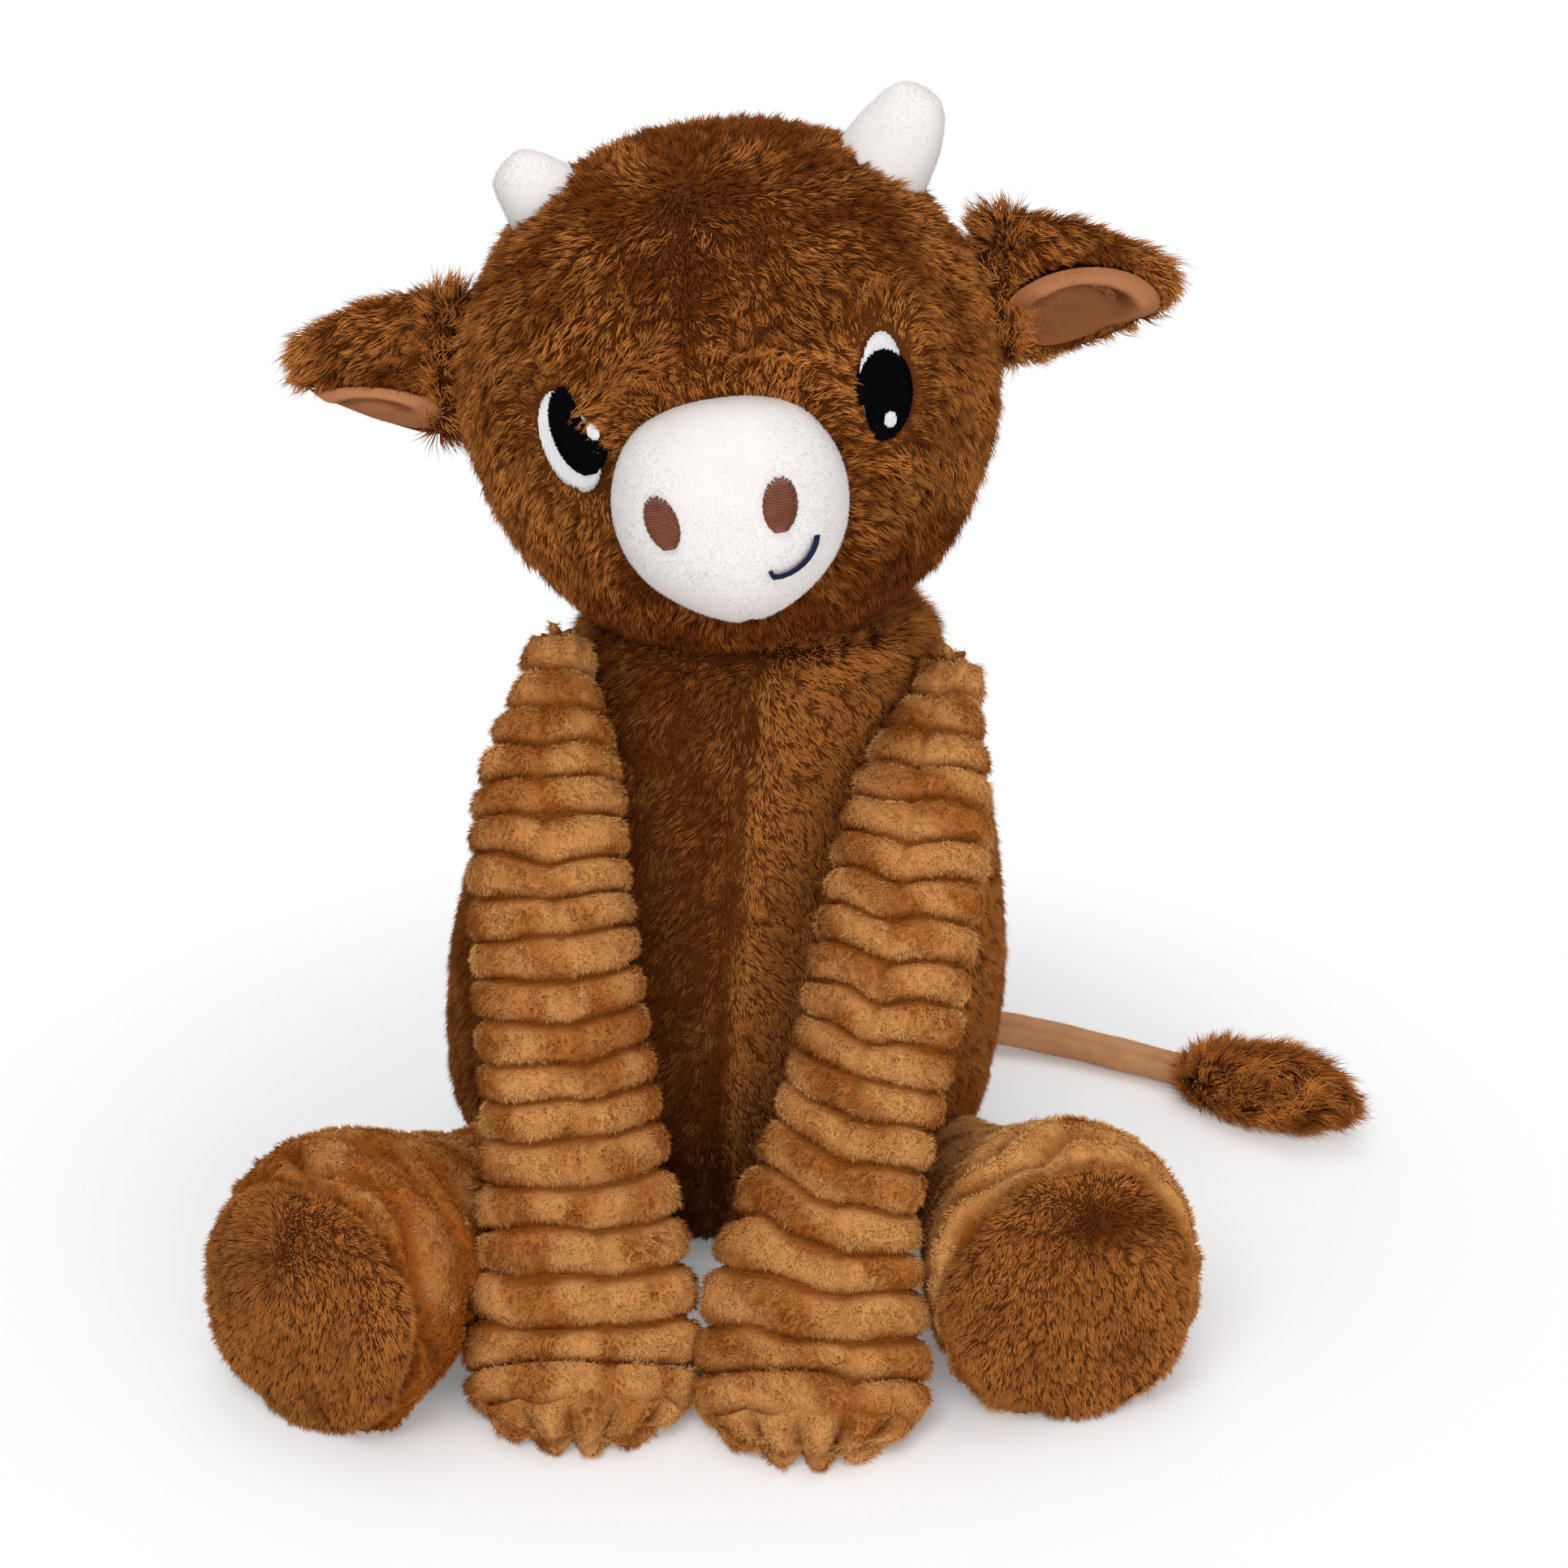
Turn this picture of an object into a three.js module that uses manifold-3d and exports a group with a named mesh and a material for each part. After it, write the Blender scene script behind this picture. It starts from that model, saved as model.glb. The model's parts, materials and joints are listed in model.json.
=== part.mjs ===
// Sitting plush cow: fur head and body, ribbed arms, short legs with fur soles, thin tail with a tuft.
// Millimetres, +Z up, the toy faces -Y. Left and right are the toy's own, so its left side is +X.
// The origin lies on the floor, in the middle of the flat seat under the body.

import * as THREE from 'three';
import { mergeVertices } from 'three/addons/utils/BufferGeometryUtils.js';
import Module from 'manifold-3d';

const wasm = await Module();
wasm.setup();

// Clearances and fabric
const GAP = 0.3;
const SKIN = 6;
const SHORT_PILE = 3.2;
const PATCH = 0.9;
const OVERRUN = 30;
const MERGE_TOLERANCE = 1e-4;

// Body
const BODY_HEIGHT = 184;
const BODY_HALF_WIDTH = 80;
const BODY_HALF_DEPTH = 66;
const BODY_LEAN = 8;
const NECK_OPENING_RADIUS = 22;

// Head
const HEAD_HALF_WIDTH = 72;
const HEAD_HALF_DEPTH = 65;
const HEAD_HALF_HEIGHT = 67;
const HEAD_X = 0;
const HEAD_Y = -15;
const HEAD_RISE = 71;
const HEAD_ROLL = -10;

// Face, in the head's own frame
const MUZZLE_HALF_WIDTH = 30;
const MUZZLE_HALF_HEIGHT = 29;
const MUZZLE_REACH = 28;
const MUZZLE_X = -1.5;
const MUZZLE_DROP = 18.5;
const NOSTRIL_HALF_WIDTH = 4.2;
const NOSTRIL_HALF_HEIGHT = 6.6;
const NOSTRIL_SPREAD = 14.8;
const NOSTRIL_X = -1.2;
const NOSTRIL_RISE = 6;
const NOSTRIL_LEAN = 8;
const SMILE_RADIUS = 10.5;
const SMILE_WIDTH = 1.4;
const SMILE_X = 11;
const SMILE_DROP = 1.5;
const SMILE_TURN = 299;
const SMILE_SPAN = 86;
const EYE_HALF_WIDTH = 7.5;
const EYE_HALF_HEIGHT = 11.4;
const EYE_WHITE_RIM = 2.6;
const EYE_LEAN = 6;
const HIGHLIGHT_HALF_WIDTH = 1.9;
const HIGHLIGHT_HALF_HEIGHT = 2.5;

// Horns and ears
const HORN_RADIUS = 13.5;
const HORN_LENGTH = 28;
const HORN_SPREAD = 44.5;
const HORN_X = 8;
const HORN_RISE = 51.5;
const HORN_SPLAY = 38;
const EAR_LENGTH = 49;
const EAR_HALF_HEIGHT = 20;
const EAR_HALF_THICKNESS = 7.5;
const EAR_LINING = 1.6;
const EAR_ROOT_RADIUS = 5.5;
const EAR_SEAT = 1.6;

// Arms
const ARM_RIBS = 18;
const ARM_HALF_WIDTH = 31.5;
const ARM_HALF_THICKNESS = 13.5;
const ARM_RIB_DEPTH = 2.4;
const HAND_SCALLOPS = 5;
const HAND_SCALLOP_DEPTH = 1.8;
const KNOT_RADIUS = 8;

// Legs
const LEG_RADIUS = 27;
const SOLE_RADIUS = 34;
const SOLE_THICKNESS = 9;
const SOLE_CROWN = 1.5;

// Tail
const TAIL_RADIUS = 5.4;
const TAIL_ROOT_RADIUS = 6.2;
const TUFT_LENGTH = 58;
const TUFT_RADIUS = 16.5;

// Inside the body
const PELLET_BAG_HALF_WIDTH = 46;
const PELLET_BAG_HALF_DEPTH = 36;
const PELLET_BAG_HEIGHT = 34;

// Facets
const ROUND = 28;
const CORE_ROUND = 14;
const HAND_ROUND = 20;
const LEG_ROUND = 24;
const EAR_ROUND = 16;
const PATCH_ROUND = 20;
const SMALL_ROUND = 12;

const neckPlane = BODY_HEIGHT;
const headCentre = new THREE.Vector3(HEAD_X, HEAD_Y, neckPlane + HEAD_RISE);
const headTurn = new THREE.Euler(0, THREE.MathUtils.degToRad(HEAD_ROLL), 0);
const headMatrix = new THREE.Matrix4().makeRotationFromEuler(headTurn).setPosition(headCentre);
const up = new THREE.Vector3(0, 0, 1);

// Materials by fabric
const fabric = (color, roughness) => new THREE.MeshStandardMaterial({ color, roughness, metalness: 0 });
const materials = {
  fur: fabric(0x85501e, 0.95),
  ribbed: fabric(0xa8672c, 0.9),
  minky: fabric(0xf4eeea, 0.95),
  tan: fabric(0xc58c5f, 0.9),
  nostril: fabric(0x7d4b3c, 0.7),
  navy: fabric(0x141a3c, 0.7),
  black: fabric(0x121112, 0.6),
  white: fabric(0xf4f3f1, 0.7),
  filling: fabric(0xe9e6e0, 1),
  pellets: fabric(0xd9d4c8, 1),
};

// Value at t of a table of [position, value] rows, with a smooth curve through them.
function along(table, t) {
  const last = table.length - 1;
  let i = 0;
  while (i < last - 1 && t > table[i + 1][0]) i += 1;
  const [t0, v0] = table[i];
  const [t1, v1] = table[i + 1];
  const before = table[Math.max(i - 1, 0)];
  const after = table[Math.min(i + 2, last)];
  const span = t1 - t0;
  const x = Math.min(Math.max((t - t0) / span, 0), 1);
  const m0 = i > 0 ? ((v1 - before[1]) / (t1 - before[0])) * span : v1 - v0;
  const m1 = i < last - 1 ? ((after[1] - v0) / (after[0] - t0)) * span : v1 - v0;
  const x2 = x * x;
  const x3 = x2 * x;
  return (2 * x3 - 3 * x2 + 1) * v0 + (x3 - 2 * x2 + x) * m0 + (3 * x2 - 2 * x3) * v1 + (x3 - x2) * m1;
}

// Closed skin over rings of points, with a fan over each end.
function loft(rings) {
  const count = rings[0].length;
  const places = [];
  for (const ring of rings) for (const p of ring) places.push(p.x, p.y, p.z);
  const middle = (ring) => ring.reduce((sum, p) => sum.add(p), new THREE.Vector3()).divideScalar(count);
  const faces = [];
  for (let r = 0; r + 1 < rings.length; r += 1) {
    for (let i = 0; i < count; i += 1) {
      const j = (i + 1) % count;
      const a = r * count + i;
      const b = r * count + j;
      faces.push(a, b, b + count, a, b + count, a + count);
    }
  }
  for (const [ring, start, flip] of [
    [rings[0], 0, true],
    [rings.at(-1), (rings.length - 1) * count, false],
  ]) {
    const m = middle(ring);
    const hub = places.length / 3;
    places.push(m.x, m.y, m.z);
    for (let i = 0; i < count; i += 1) {
      const j = (i + 1) % count;
      faces.push(start + (flip ? j : i), start + (flip ? i : j), hub);
    }
  }
  const geometry = new THREE.BufferGeometry();
  geometry.setAttribute('position', new THREE.Float32BufferAttribute(places, 3));
  geometry.setIndex(faces);
  return geometry;
}

// Solid of a closed geometry, turned the right way out.
function solid(geometry) {
  const bare = geometry.clone();
  bare.deleteAttribute('normal');
  bare.deleteAttribute('uv');
  const merged = mergeVertices(bare.index ? bare.toNonIndexed() : bare, MERGE_TOLERANCE);
  const vertProperties = new Float32Array(merged.attributes.position.array);
  const triVerts = new Uint32Array(merged.index.array);
  let volume = 0;
  const corner = (k) => new THREE.Vector3().fromArray(vertProperties, triVerts[k] * 3);
  for (let k = 0; k < triVerts.length; k += 3) {
    volume += corner(k).dot(corner(k + 1).cross(corner(k + 2)));
  }
  if (volume < 0) {
    for (let k = 0; k < triVerts.length; k += 3) {
      [triVerts[k + 1], triVerts[k + 2]] = [triVerts[k + 2], triVerts[k + 1]];
    }
  }
  return new wasm.Manifold(new wasm.Mesh({ numProp: 3, vertProperties, triVerts }));
}

// Geometry of a solid.
function geometryOf(shape) {
  const mesh = shape.getMesh();
  const geometry = new THREE.BufferGeometry();
  const places = new Float32Array(mesh.triVerts.length * 3);
  mesh.triVerts.forEach((v, k) => {
    for (let axis = 0; axis < 3; axis += 1) {
      places[k * 3 + axis] = mesh.vertProperties[v * mesh.numProp + axis];
    }
  });
  geometry.setAttribute('position', new THREE.BufferAttribute(places, 3));
  const merged = mergeVertices(geometry, MERGE_TOLERANCE);
  merged.computeVertexNormals();
  return merged;
}

// Largest body of a solid that a cut may have left in several.
function mainBody(shape) {
  return shape.decompose().sort((a, b) => b.volume() - a.volume())[0];
}

// Everything above a height, as a box much larger than the toy.
const farShare = 8;
function above(height) {
  const size = BODY_HEIGHT * farShare;
  const box = new THREE.BoxGeometry(size, size, size);
  box.translate(0, 0, height + size / 2);
  return solid(box);
}

// Ball of a radius round a point.
function ball(centre, radius) {
  const sphere = new THREE.SphereGeometry(radius, SMALL_ROUND, SMALL_ROUND / 2);
  sphere.translate(centre.x, centre.y, centre.z);
  return solid(sphere);
}

// Place by shares of the body's half width, half depth and height.
const bodyPlace = (xShare, yShare, zShare) => new THREE.Vector3(
  BODY_HALF_WIDTH * xShare, BODY_HALF_DEPTH * yShare, BODY_HEIGHT * zShare,
);

// Horizontal ring of the body at a height.
const bodyWidthShares = [
  [0, 0.66], [0.04, 0.8], [0.1, 0.9], [0.2, 0.97], [0.34, 1], [0.5, 0.965],
  [0.66, 0.87], [0.8, 0.76], [0.92, 0.67], [1, 0.6],
];
const bodyDepthShares = [
  [0, 0.55], [0.04, 0.72], [0.1, 0.85], [0.2, 0.96], [0.34, 1], [0.5, 0.95],
  [0.66, 0.86], [0.8, 0.76], [0.92, 0.69], [1, 0.64],
];
const bodyLeanShares = [[0, -0.3], [0.35, -0.38], [0.7, 0.3], [1, 1]];
function bodyRing(share, inset, points) {
  const a = BODY_HALF_WIDTH * along(bodyWidthShares, share) - inset;
  const b = BODY_HALF_DEPTH * along(bodyDepthShares, share) - inset;
  const x0 = BODY_LEAN * along(bodyLeanShares, share);
  const z = BODY_HEIGHT * share;
  const ring = [];
  for (let i = 0; i < points; i += 1) {
    const turn = (2 * Math.PI * i) / points;
    ring.push(new THREE.Vector3(x0 + a * Math.cos(turn), b * Math.sin(turn), z));
  }
  return ring;
}
const bodyLevelShares = [0, 0.02, 0.05, 0.1, 0.16, 0.24, 0.34, 0.45, 0.56, 0.67, 0.78, 0.88, 0.95, 1];
const bodyShape = (inset) => solid(loft(bodyLevelShares.map((share) => bodyRing(share, inset, ROUND))));

// Inner space of the body, which the filling fits with a gap all round.
const coreLevelShares = [0.04, 0.1, 0.2, 0.34, 0.5, 0.66, 0.8, 0.92];
function bodyCore(inset, top) {
  const rings = coreLevelShares.map((share) => bodyRing(share, SKIN + inset, CORE_ROUND));
  const neck = NECK_OPENING_RADIUS - inset;
  for (const z of [neckPlane - SKIN, top]) {
    const ring = [];
    for (let i = 0; i < CORE_ROUND; i += 1) {
      const turn = (2 * Math.PI * i) / CORE_ROUND;
      ring.push(new THREE.Vector3(BODY_LEAN + neck * Math.cos(turn), neck * Math.sin(turn), z - inset));
    }
    rings.push(ring);
  }
  rings[0].forEach((p) => {
    p.z += inset;
  });
  return solid(loft(rings));
}

// Head, in its own frame: nearly an ellipsoid, with full cheeks.
const headWidthShares = [
  [-1, 0.46], [-0.9, 0.62], [-0.75, 0.77], [-0.5, 0.9], [-0.25, 0.975], [0, 1],
  [0.3, 0.955], [0.55, 0.84], [0.75, 0.67], [0.9, 0.44], [0.975, 0.22], [1, 0.04],
];
const headLevelShares = [-1, -0.93, -0.82, -0.68, -0.5, -0.28, -0.05, 0.18, 0.4, 0.6, 0.76, 0.88, 0.96, 1];
const crownShare = 0.02;
function headRing(share, inset, points) {
  const wide = along(headWidthShares, share);
  const a = Math.max(HEAD_HALF_WIDTH * wide - inset, HEAD_HALF_WIDTH * crownShare);
  const b = Math.max(HEAD_HALF_DEPTH * wide - inset, HEAD_HALF_DEPTH * crownShare);
  const z = (HEAD_HALF_HEIGHT - inset) * share;
  const ring = [];
  for (let i = 0; i < points; i += 1) {
    const turn = (2 * Math.PI * i) / points;
    ring.push(new THREE.Vector3(a * Math.cos(turn), b * Math.sin(turn), z));
  }
  return ring;
}
const headShape = (inset) => solid(loft(headLevelShares.map((share) => headRing(share, inset, ROUND))));
const headCoreShares = [-0.95, -0.7, -0.4, 0, 0.4, 0.7, 0.9, 1];
const headCoreShape = (inset) => solid(
  loft(headCoreShares.map((share) => headRing(share, SKIN + inset, CORE_ROUND))),
);

// Neck passage of the head, from its inner space down through its skin.
function neckPassage() {
  const tube = new THREE.CylinderGeometry(NECK_OPENING_RADIUS, NECK_OPENING_RADIUS, 2 * OVERRUN, CORE_ROUND);
  tube.rotateX(Math.PI / 2);
  tube.translate(BODY_LEAN, 0, neckPlane + OVERRUN - GAP);
  return solid(tube);
}

const placed = (shape) => shape.transform(headMatrix.elements);

// Elliptic prism forward from a depth in the head's frame, leaning by an angle in the face's plane.
function prism(x, rear, z, halfWidth, halfHeight, lean) {
  const rod = new THREE.CylinderGeometry(1, 1, HEAD_HALF_DEPTH, PATCH_ROUND);
  rod.scale(halfWidth, 1, halfHeight);
  rod.rotateY(THREE.MathUtils.degToRad(lean));
  rod.translate(x, rear - HEAD_HALF_DEPTH / 2, z);
  return solid(rod);
}
const muzzleRear = -HEAD_HALF_DEPTH;
const eyeRear = -HEAD_HALF_DEPTH / 2;

// Snout dome on the face.
const muzzleSeatShare = 0.1;
function muzzleShape(grow) {
  const dome = new THREE.SphereGeometry(1, ROUND, ROUND / 2);
  dome.scale(MUZZLE_HALF_WIDTH + grow, MUZZLE_REACH + grow, MUZZLE_HALF_HEIGHT + grow);
  dome.translate(MUZZLE_X, MUZZLE_REACH * muzzleSeatShare - HEAD_HALF_DEPTH, -MUZZLE_DROP);
  return solid(dome);
}

// Thin patch over a shape, inside an outline prism, lying on it at a rank of 0, 1 or 2.
function patchOver(shapeGrownBy, outline, rank) {
  const low = GAP + rank * (PATCH + GAP);
  return mainBody(outline.intersect(shapeGrownBy(low + PATCH)).subtract(shapeGrownBy(low)));
}

// One limb point by share of its length, from tables of shares between two ends.
function limbPoint(path, share) {
  const [from, to] = [path.from, path.to];
  return new THREE.Vector3(
    from.x + (to.x - from.x) * along(path.xShares, share),
    from.y + (to.y - from.y) * along(path.yShares, share),
    from.z + (to.z - from.z) * along(path.zShares, share),
  );
}

// Ring across a path: side is level and across it, lift is square to both.
function crossRing(point, direction, halfWidth, halfThickness, points, shape = null) {
  const side = new THREE.Vector3().crossVectors(direction, up).normalize();
  const lift = new THREE.Vector3().crossVectors(side, direction).normalize();
  const ring = [];
  for (let i = 0; i < points; i += 1) {
    const turn = (2 * Math.PI * i) / points;
    const stretch = shape ? shape(turn) : 1;
    ring.push(point.clone()
      .addScaledVector(side, stretch * halfWidth * Math.cos(turn))
      .addScaledVector(lift, stretch * halfThickness * Math.sin(turn)));
  }
  return ring;
}
const headingStepShare = 0.01;
function heading(path, share) {
  const ahead = limbPoint(path, Math.min(share + headingStepShare, 1));
  return ahead.sub(limbPoint(path, Math.max(share - headingStepShare, 0))).normalize();
}

// Tube through a limb's rings, lengthened straight at its start and end.
function tubeCore(path, ringAt, levels, inset, before, after) {
  const rings = levels.map((share) => ringAt(path, share, inset));
  const shifted = (ring, share, distance) => ring.map(
    (p) => p.clone().addScaledVector(heading(path, share), distance),
  );
  if (before > 0) rings.unshift(shifted(rings[0], levels[0], -before));
  if (after > 0) rings.push(shifted(rings.at(-1), levels.at(-1), after));
  return solid(loft(rings));
}

// Arms: from the shoulder knot down in front of the body to the hand on the floor.
const armXShares = {
  right: [[0, 0], [0.3, -0.1], [0.6, 0.45], [0.8, 0.85], [1, 1]],
  left: [[0, 0], [0.15, 0.2], [0.3, 0.34], [0.6, 0.63], [0.8, 0.92], [1, 1]],
};
const armYShares = [
  [0, 0], [0.13, 0.2], [0.3, 0.38], [0.48, 0.51], [0.66, 0.6], [0.84, 0.73], [0.93, 0.83], [1, 1],
];
const armZShares = [
  [0, 0], [0.13, 0.1], [0.3, 0.24], [0.48, 0.42], [0.66, 0.62], [0.84, 0.84], [0.93, 0.96], [1, 1],
];
const armPaths = {
  right: { from: bodyPlace(-0.588, -0.333, 0.984), to: bodyPlace(-0.475, -2.227, 0.027) },
  left: { from: bodyPlace(0.775, -0.333, 0.946), to: bodyPlace(0.268, -2.318, 0.027) },
};
const armWidthShares = [
  [0, 0.25], [0.06, 0.32], [0.12, 0.47], [0.22, 0.61], [0.36, 0.66], [0.55, 0.71],
  [0.7, 0.77], [0.82, 0.9], [0.9, 0.98], [0.95, 0.97], [1, 0.78],
];
const armThicknessShares = [
  [0, 0.56], [0.06, 0.62], [0.14, 0.8], [0.25, 0.95], [0.5, 1], [0.8, 1], [0.92, 0.86], [1, 0.5],
];
const handShare = 0.93;
const handEndShares = [[0.945, 0.02], [0.965, 0.06], [0.985, 0.2], [1, 0.42]];
const ribShares = [0, 0.25, 0.72];
for (const side of ['left', 'right']) {
  Object.assign(armPaths[side], { xShares: armXShares[side], yShares: armYShares, zShares: armZShares });
}
function armRing(path, share, grow, points, scallop = 0) {
  const dip = (turn) => (1 - Math.cos(2 * HAND_SCALLOPS * turn)) / 2;
  const scallops = (turn) => 1 - (scallop * dip(turn)) / ARM_HALF_WIDTH;
  return crossRing(
    limbPoint(path, share),
    heading(path, share),
    ARM_HALF_WIDTH * along(armWidthShares, share) + grow,
    ARM_HALF_THICKNESS * along(armThicknessShares, share) + grow,
    points,
    scallops,
  );
}
function armShape(path) {
  const rings = [];
  for (let rib = 0; rib < ARM_RIBS; rib += 1) {
    ribShares.forEach((ribShare, k) => {
      const share = ((rib + ribShare) / ARM_RIBS) * handShare;
      rings.push(armRing(path, share, k === 0 ? -ARM_RIB_DEPTH : 0, HAND_ROUND));
    });
  }
  rings.push(armRing(path, handShare, -ARM_RIB_DEPTH, HAND_ROUND));
  for (const [share, inset] of handEndShares) {
    rings.push(armRing(path, share, -inset * ARM_HALF_THICKNESS, HAND_ROUND, HAND_SCALLOP_DEPTH));
  }
  return solid(loft(rings)).add(ball(path.from, KNOT_RADIUS));
}
const armCoreShares = [0.03, 0.1, 0.2, 0.35, 0.5, 0.65, 0.8, 0.9, 0.95];
const armCoreRing = (path, share, inset) => armRing(
  path, share, -ARM_RIB_DEPTH - SHORT_PILE / 2 - inset, SMALL_ROUND,
);
const armCore = (path) => tubeCore(path, armCoreRing, armCoreShares, GAP, 0, 0);
const armHollow = (path) => tubeCore(path, armCoreRing, armCoreShares, 0, 2 * KNOT_RADIUS, GAP);

// Legs: from the hip forward and outward to an upright sole.
const soleRiseShare = 0.965;
const legPaths = {
  right: {
    from: bodyPlace(-0.625, -0.121, 0.11),
    to: bodyPlace(-1.35, -1.909, 0).setZ(SOLE_RADIUS * soleRiseShare),
    out: -1,
    turnOut: 34,
    tip: 4,
    xShares: [[0, 0], [0.35, 0.36], [0.7, 0.74], [1, 1]],
  },
  left: {
    from: bodyPlace(0.575, -0.121, 0.11),
    to: bodyPlace(1.131, -1.803, 0).setZ(SOLE_RADIUS * soleRiseShare),
    out: 1,
    turnOut: 14,
    tip: 10,
    xShares: [[0, 0], [0.35, 0.5], [0.7, 0.9], [1, 1]],
  },
};
const legYShares = [[0, 0], [0.35, 0.33], [0.7, 0.7], [1, 1]];
const legZShares = [[0, 0], [0.35, 0.08], [0.6, 0.55], [0.8, 1.05], [0.92, 1.08], [1, 1]];
const legRadiusShares = [[0, 0.62], [0.35, 0.7], [0.6, 0.96], [0.8, 1.18], [0.92, 1.23], [1, 1.2]];
const legLevelShares = [0, 0.2, 0.34, 0.44, 0.54, 0.64, 0.74, 0.84, 0.92, 1];
for (const side of ['left', 'right']) {
  Object.assign(legPaths[side], { yShares: legYShares, zShares: legZShares });
}
function footHeading(path) {
  const turn = THREE.MathUtils.degToRad(path.turnOut);
  const tip = THREE.MathUtils.degToRad(path.tip);
  return new THREE.Vector3(path.out * Math.sin(turn), -Math.cos(turn), Math.tan(tip)).normalize();
}
function legRing(path, share, grow, points) {
  const direction = heading(path, share).setZ(0).lerp(footHeading(path), share * share).normalize();
  const radius = LEG_RADIUS * along(legRadiusShares, share) + grow;
  return crossRing(limbPoint(path, share), direction, radius, radius, points);
}
const legShape = (path) => solid(loft(legLevelShares.map((share) => legRing(path, share, 0, LEG_ROUND))));
const legCoreShares = [0, 0.35, 0.6, 0.8, 1];
const legCoreRing = (path, share, inset) => legRing(path, share, -SHORT_PILE - inset, CORE_ROUND);

// Sole: a crowned round pad square to the foot's heading.
const soleShares = [[0, 0.93], [0.25, 1], [0.7, 0.97], [0.9, 0.86], [1, 0.6]];
const soleCrownShare = 0.2;
function soleShape(path) {
  const direction = footHeading(path);
  const start = limbPoint(path, 1).addScaledVector(direction, GAP);
  const ringAt = (depth, radius) => crossRing(
    start.clone().addScaledVector(direction, depth), direction, radius, radius, ROUND,
  );
  const rings = soleShares.map(
    ([share, wideShare]) => ringAt(share * SOLE_THICKNESS, SOLE_RADIUS * wideShare),
  );
  rings.push(ringAt(SOLE_THICKNESS + SOLE_CROWN, SOLE_RADIUS * soleCrownShare));
  return solid(loft(rings));
}

// Tail: a thin tube lying round to the toy's left behind the body, then the tuft.
const tailRouteShares = [
  [0.3, 0.848, 0.087],
  [0.525, 1.13, 0.068],
  [0.825, 1.333, 0.049],
  [1.15, 1.303, 0.038],
  [1.5, 1.121, 0.0326],
  [1.825, 0.879, 0.0326],
];
const tailRoute = new THREE.CatmullRomCurve3(tailRouteShares.map((shares) => bodyPlace(...shares)));
const tuftEnd = bodyPlace(2.375, 0.333, 0.06);
const TAIL_STEPS = 14;
function tailShape(grow) {
  const rings = [];
  for (let i = 0; i <= TAIL_STEPS; i += 1) {
    const share = i / TAIL_STEPS;
    const radius = TAIL_ROOT_RADIUS + (TAIL_RADIUS - TAIL_ROOT_RADIUS) * share + grow;
    const direction = tailRoute.getTangentAt(share);
    rings.push(crossRing(tailRoute.getPointAt(share), direction, radius, radius, SMALL_ROUND));
  }
  return solid(loft(rings)).add(ball(tailRoute.getPointAt(0), TAIL_ROOT_RADIUS + grow));
}
const tuftFlatShare = 0.75;
const tuftShares = [[0, 0.36], [0.1, 0.62], [0.3, 0.92], [0.5, 1], [0.72, 0.86], [0.9, 0.5], [1, 0.16]];
function tuftShape() {
  const start = tailRoute.getPointAt(1);
  const direction = tuftEnd.clone().sub(start).normalize();
  start.addScaledVector(direction, GAP);
  const rise = TUFT_RADIUS * tuftFlatShare - start.z;
  return solid(loft(tuftShares.map(([share, wideShare]) => crossRing(
    start.clone().addScaledVector(direction, share * TUFT_LENGTH)
      .setZ(start.z + rise * Math.sin((share * Math.PI) / 2)),
    direction,
    TUFT_RADIUS * wideShare,
    TUFT_RADIUS * tuftFlatShare * wideShare,
    CORE_ROUND,
  ))));
}

// Ear: a leaf standing out from the side of the head, cupped in front, with its lining in the cup.
const earPlaces = {
  left: { out: 1, riseShare: 0.142, lengthShare: 1, droop: 10, sweep: 8 },
  right: { out: -1, riseShare: 0.216, lengthShare: 0.9, droop: -10, sweep: 8 },
};
const earLevelShares = [0, 0.06, 0.14, 0.26, 0.4, 0.55, 0.7, 0.82, 0.92, 1];
const earHeightShares = [
  [0, 0.98], [0.15, 1], [0.4, 0.88], [0.65, 0.68], [0.85, 0.44], [0.95, 0.28], [1, 0.1],
];
const earThicknessShares = [[0, 0.72], [0.2, 0.95], [0.5, 1], [0.8, 0.75], [1, 0.3]];
function earRoot(place) {
  const wide = HEAD_HALF_WIDTH * along(headWidthShares, place.riseShare);
  const x = place.out * (wide + EAR_ROOT_RADIUS - EAR_SEAT);
  return new THREE.Vector3(x, EAR_ROOT_RADIUS, HEAD_HALF_HEIGHT * place.riseShare);
}
function earMatrix(place) {
  const droop = THREE.MathUtils.degToRad(place.droop);
  const sweep = THREE.MathUtils.degToRad(place.sweep);
  const turn = new THREE.Euler(0, place.out * droop, place.out * sweep, 'ZYX');
  return new THREE.Matrix4().makeRotationFromEuler(turn).setPosition(earRoot(place));
}
function earLeaf(place) {
  const rings = earLevelShares.map((share) => {
    const ring = [];
    const x = place.out * EAR_LENGTH * place.lengthShare * share;
    const tall = EAR_HALF_HEIGHT * along(earHeightShares, share);
    const thick = EAR_HALF_THICKNESS * along(earThicknessShares, share);
    for (let i = 0; i < EAR_ROUND; i += 1) {
      const turn = (2 * Math.PI * i) / EAR_ROUND;
      ring.push(new THREE.Vector3(x, thick * Math.sin(turn), tall * Math.cos(turn)));
    }
    return ring;
  });
  return solid(loft(rings));
}
const cupSizeShares = [0.42, 1.05, 0.62];
const cupPlaceShares = [0.5, -0.75, -0.24];
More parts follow.
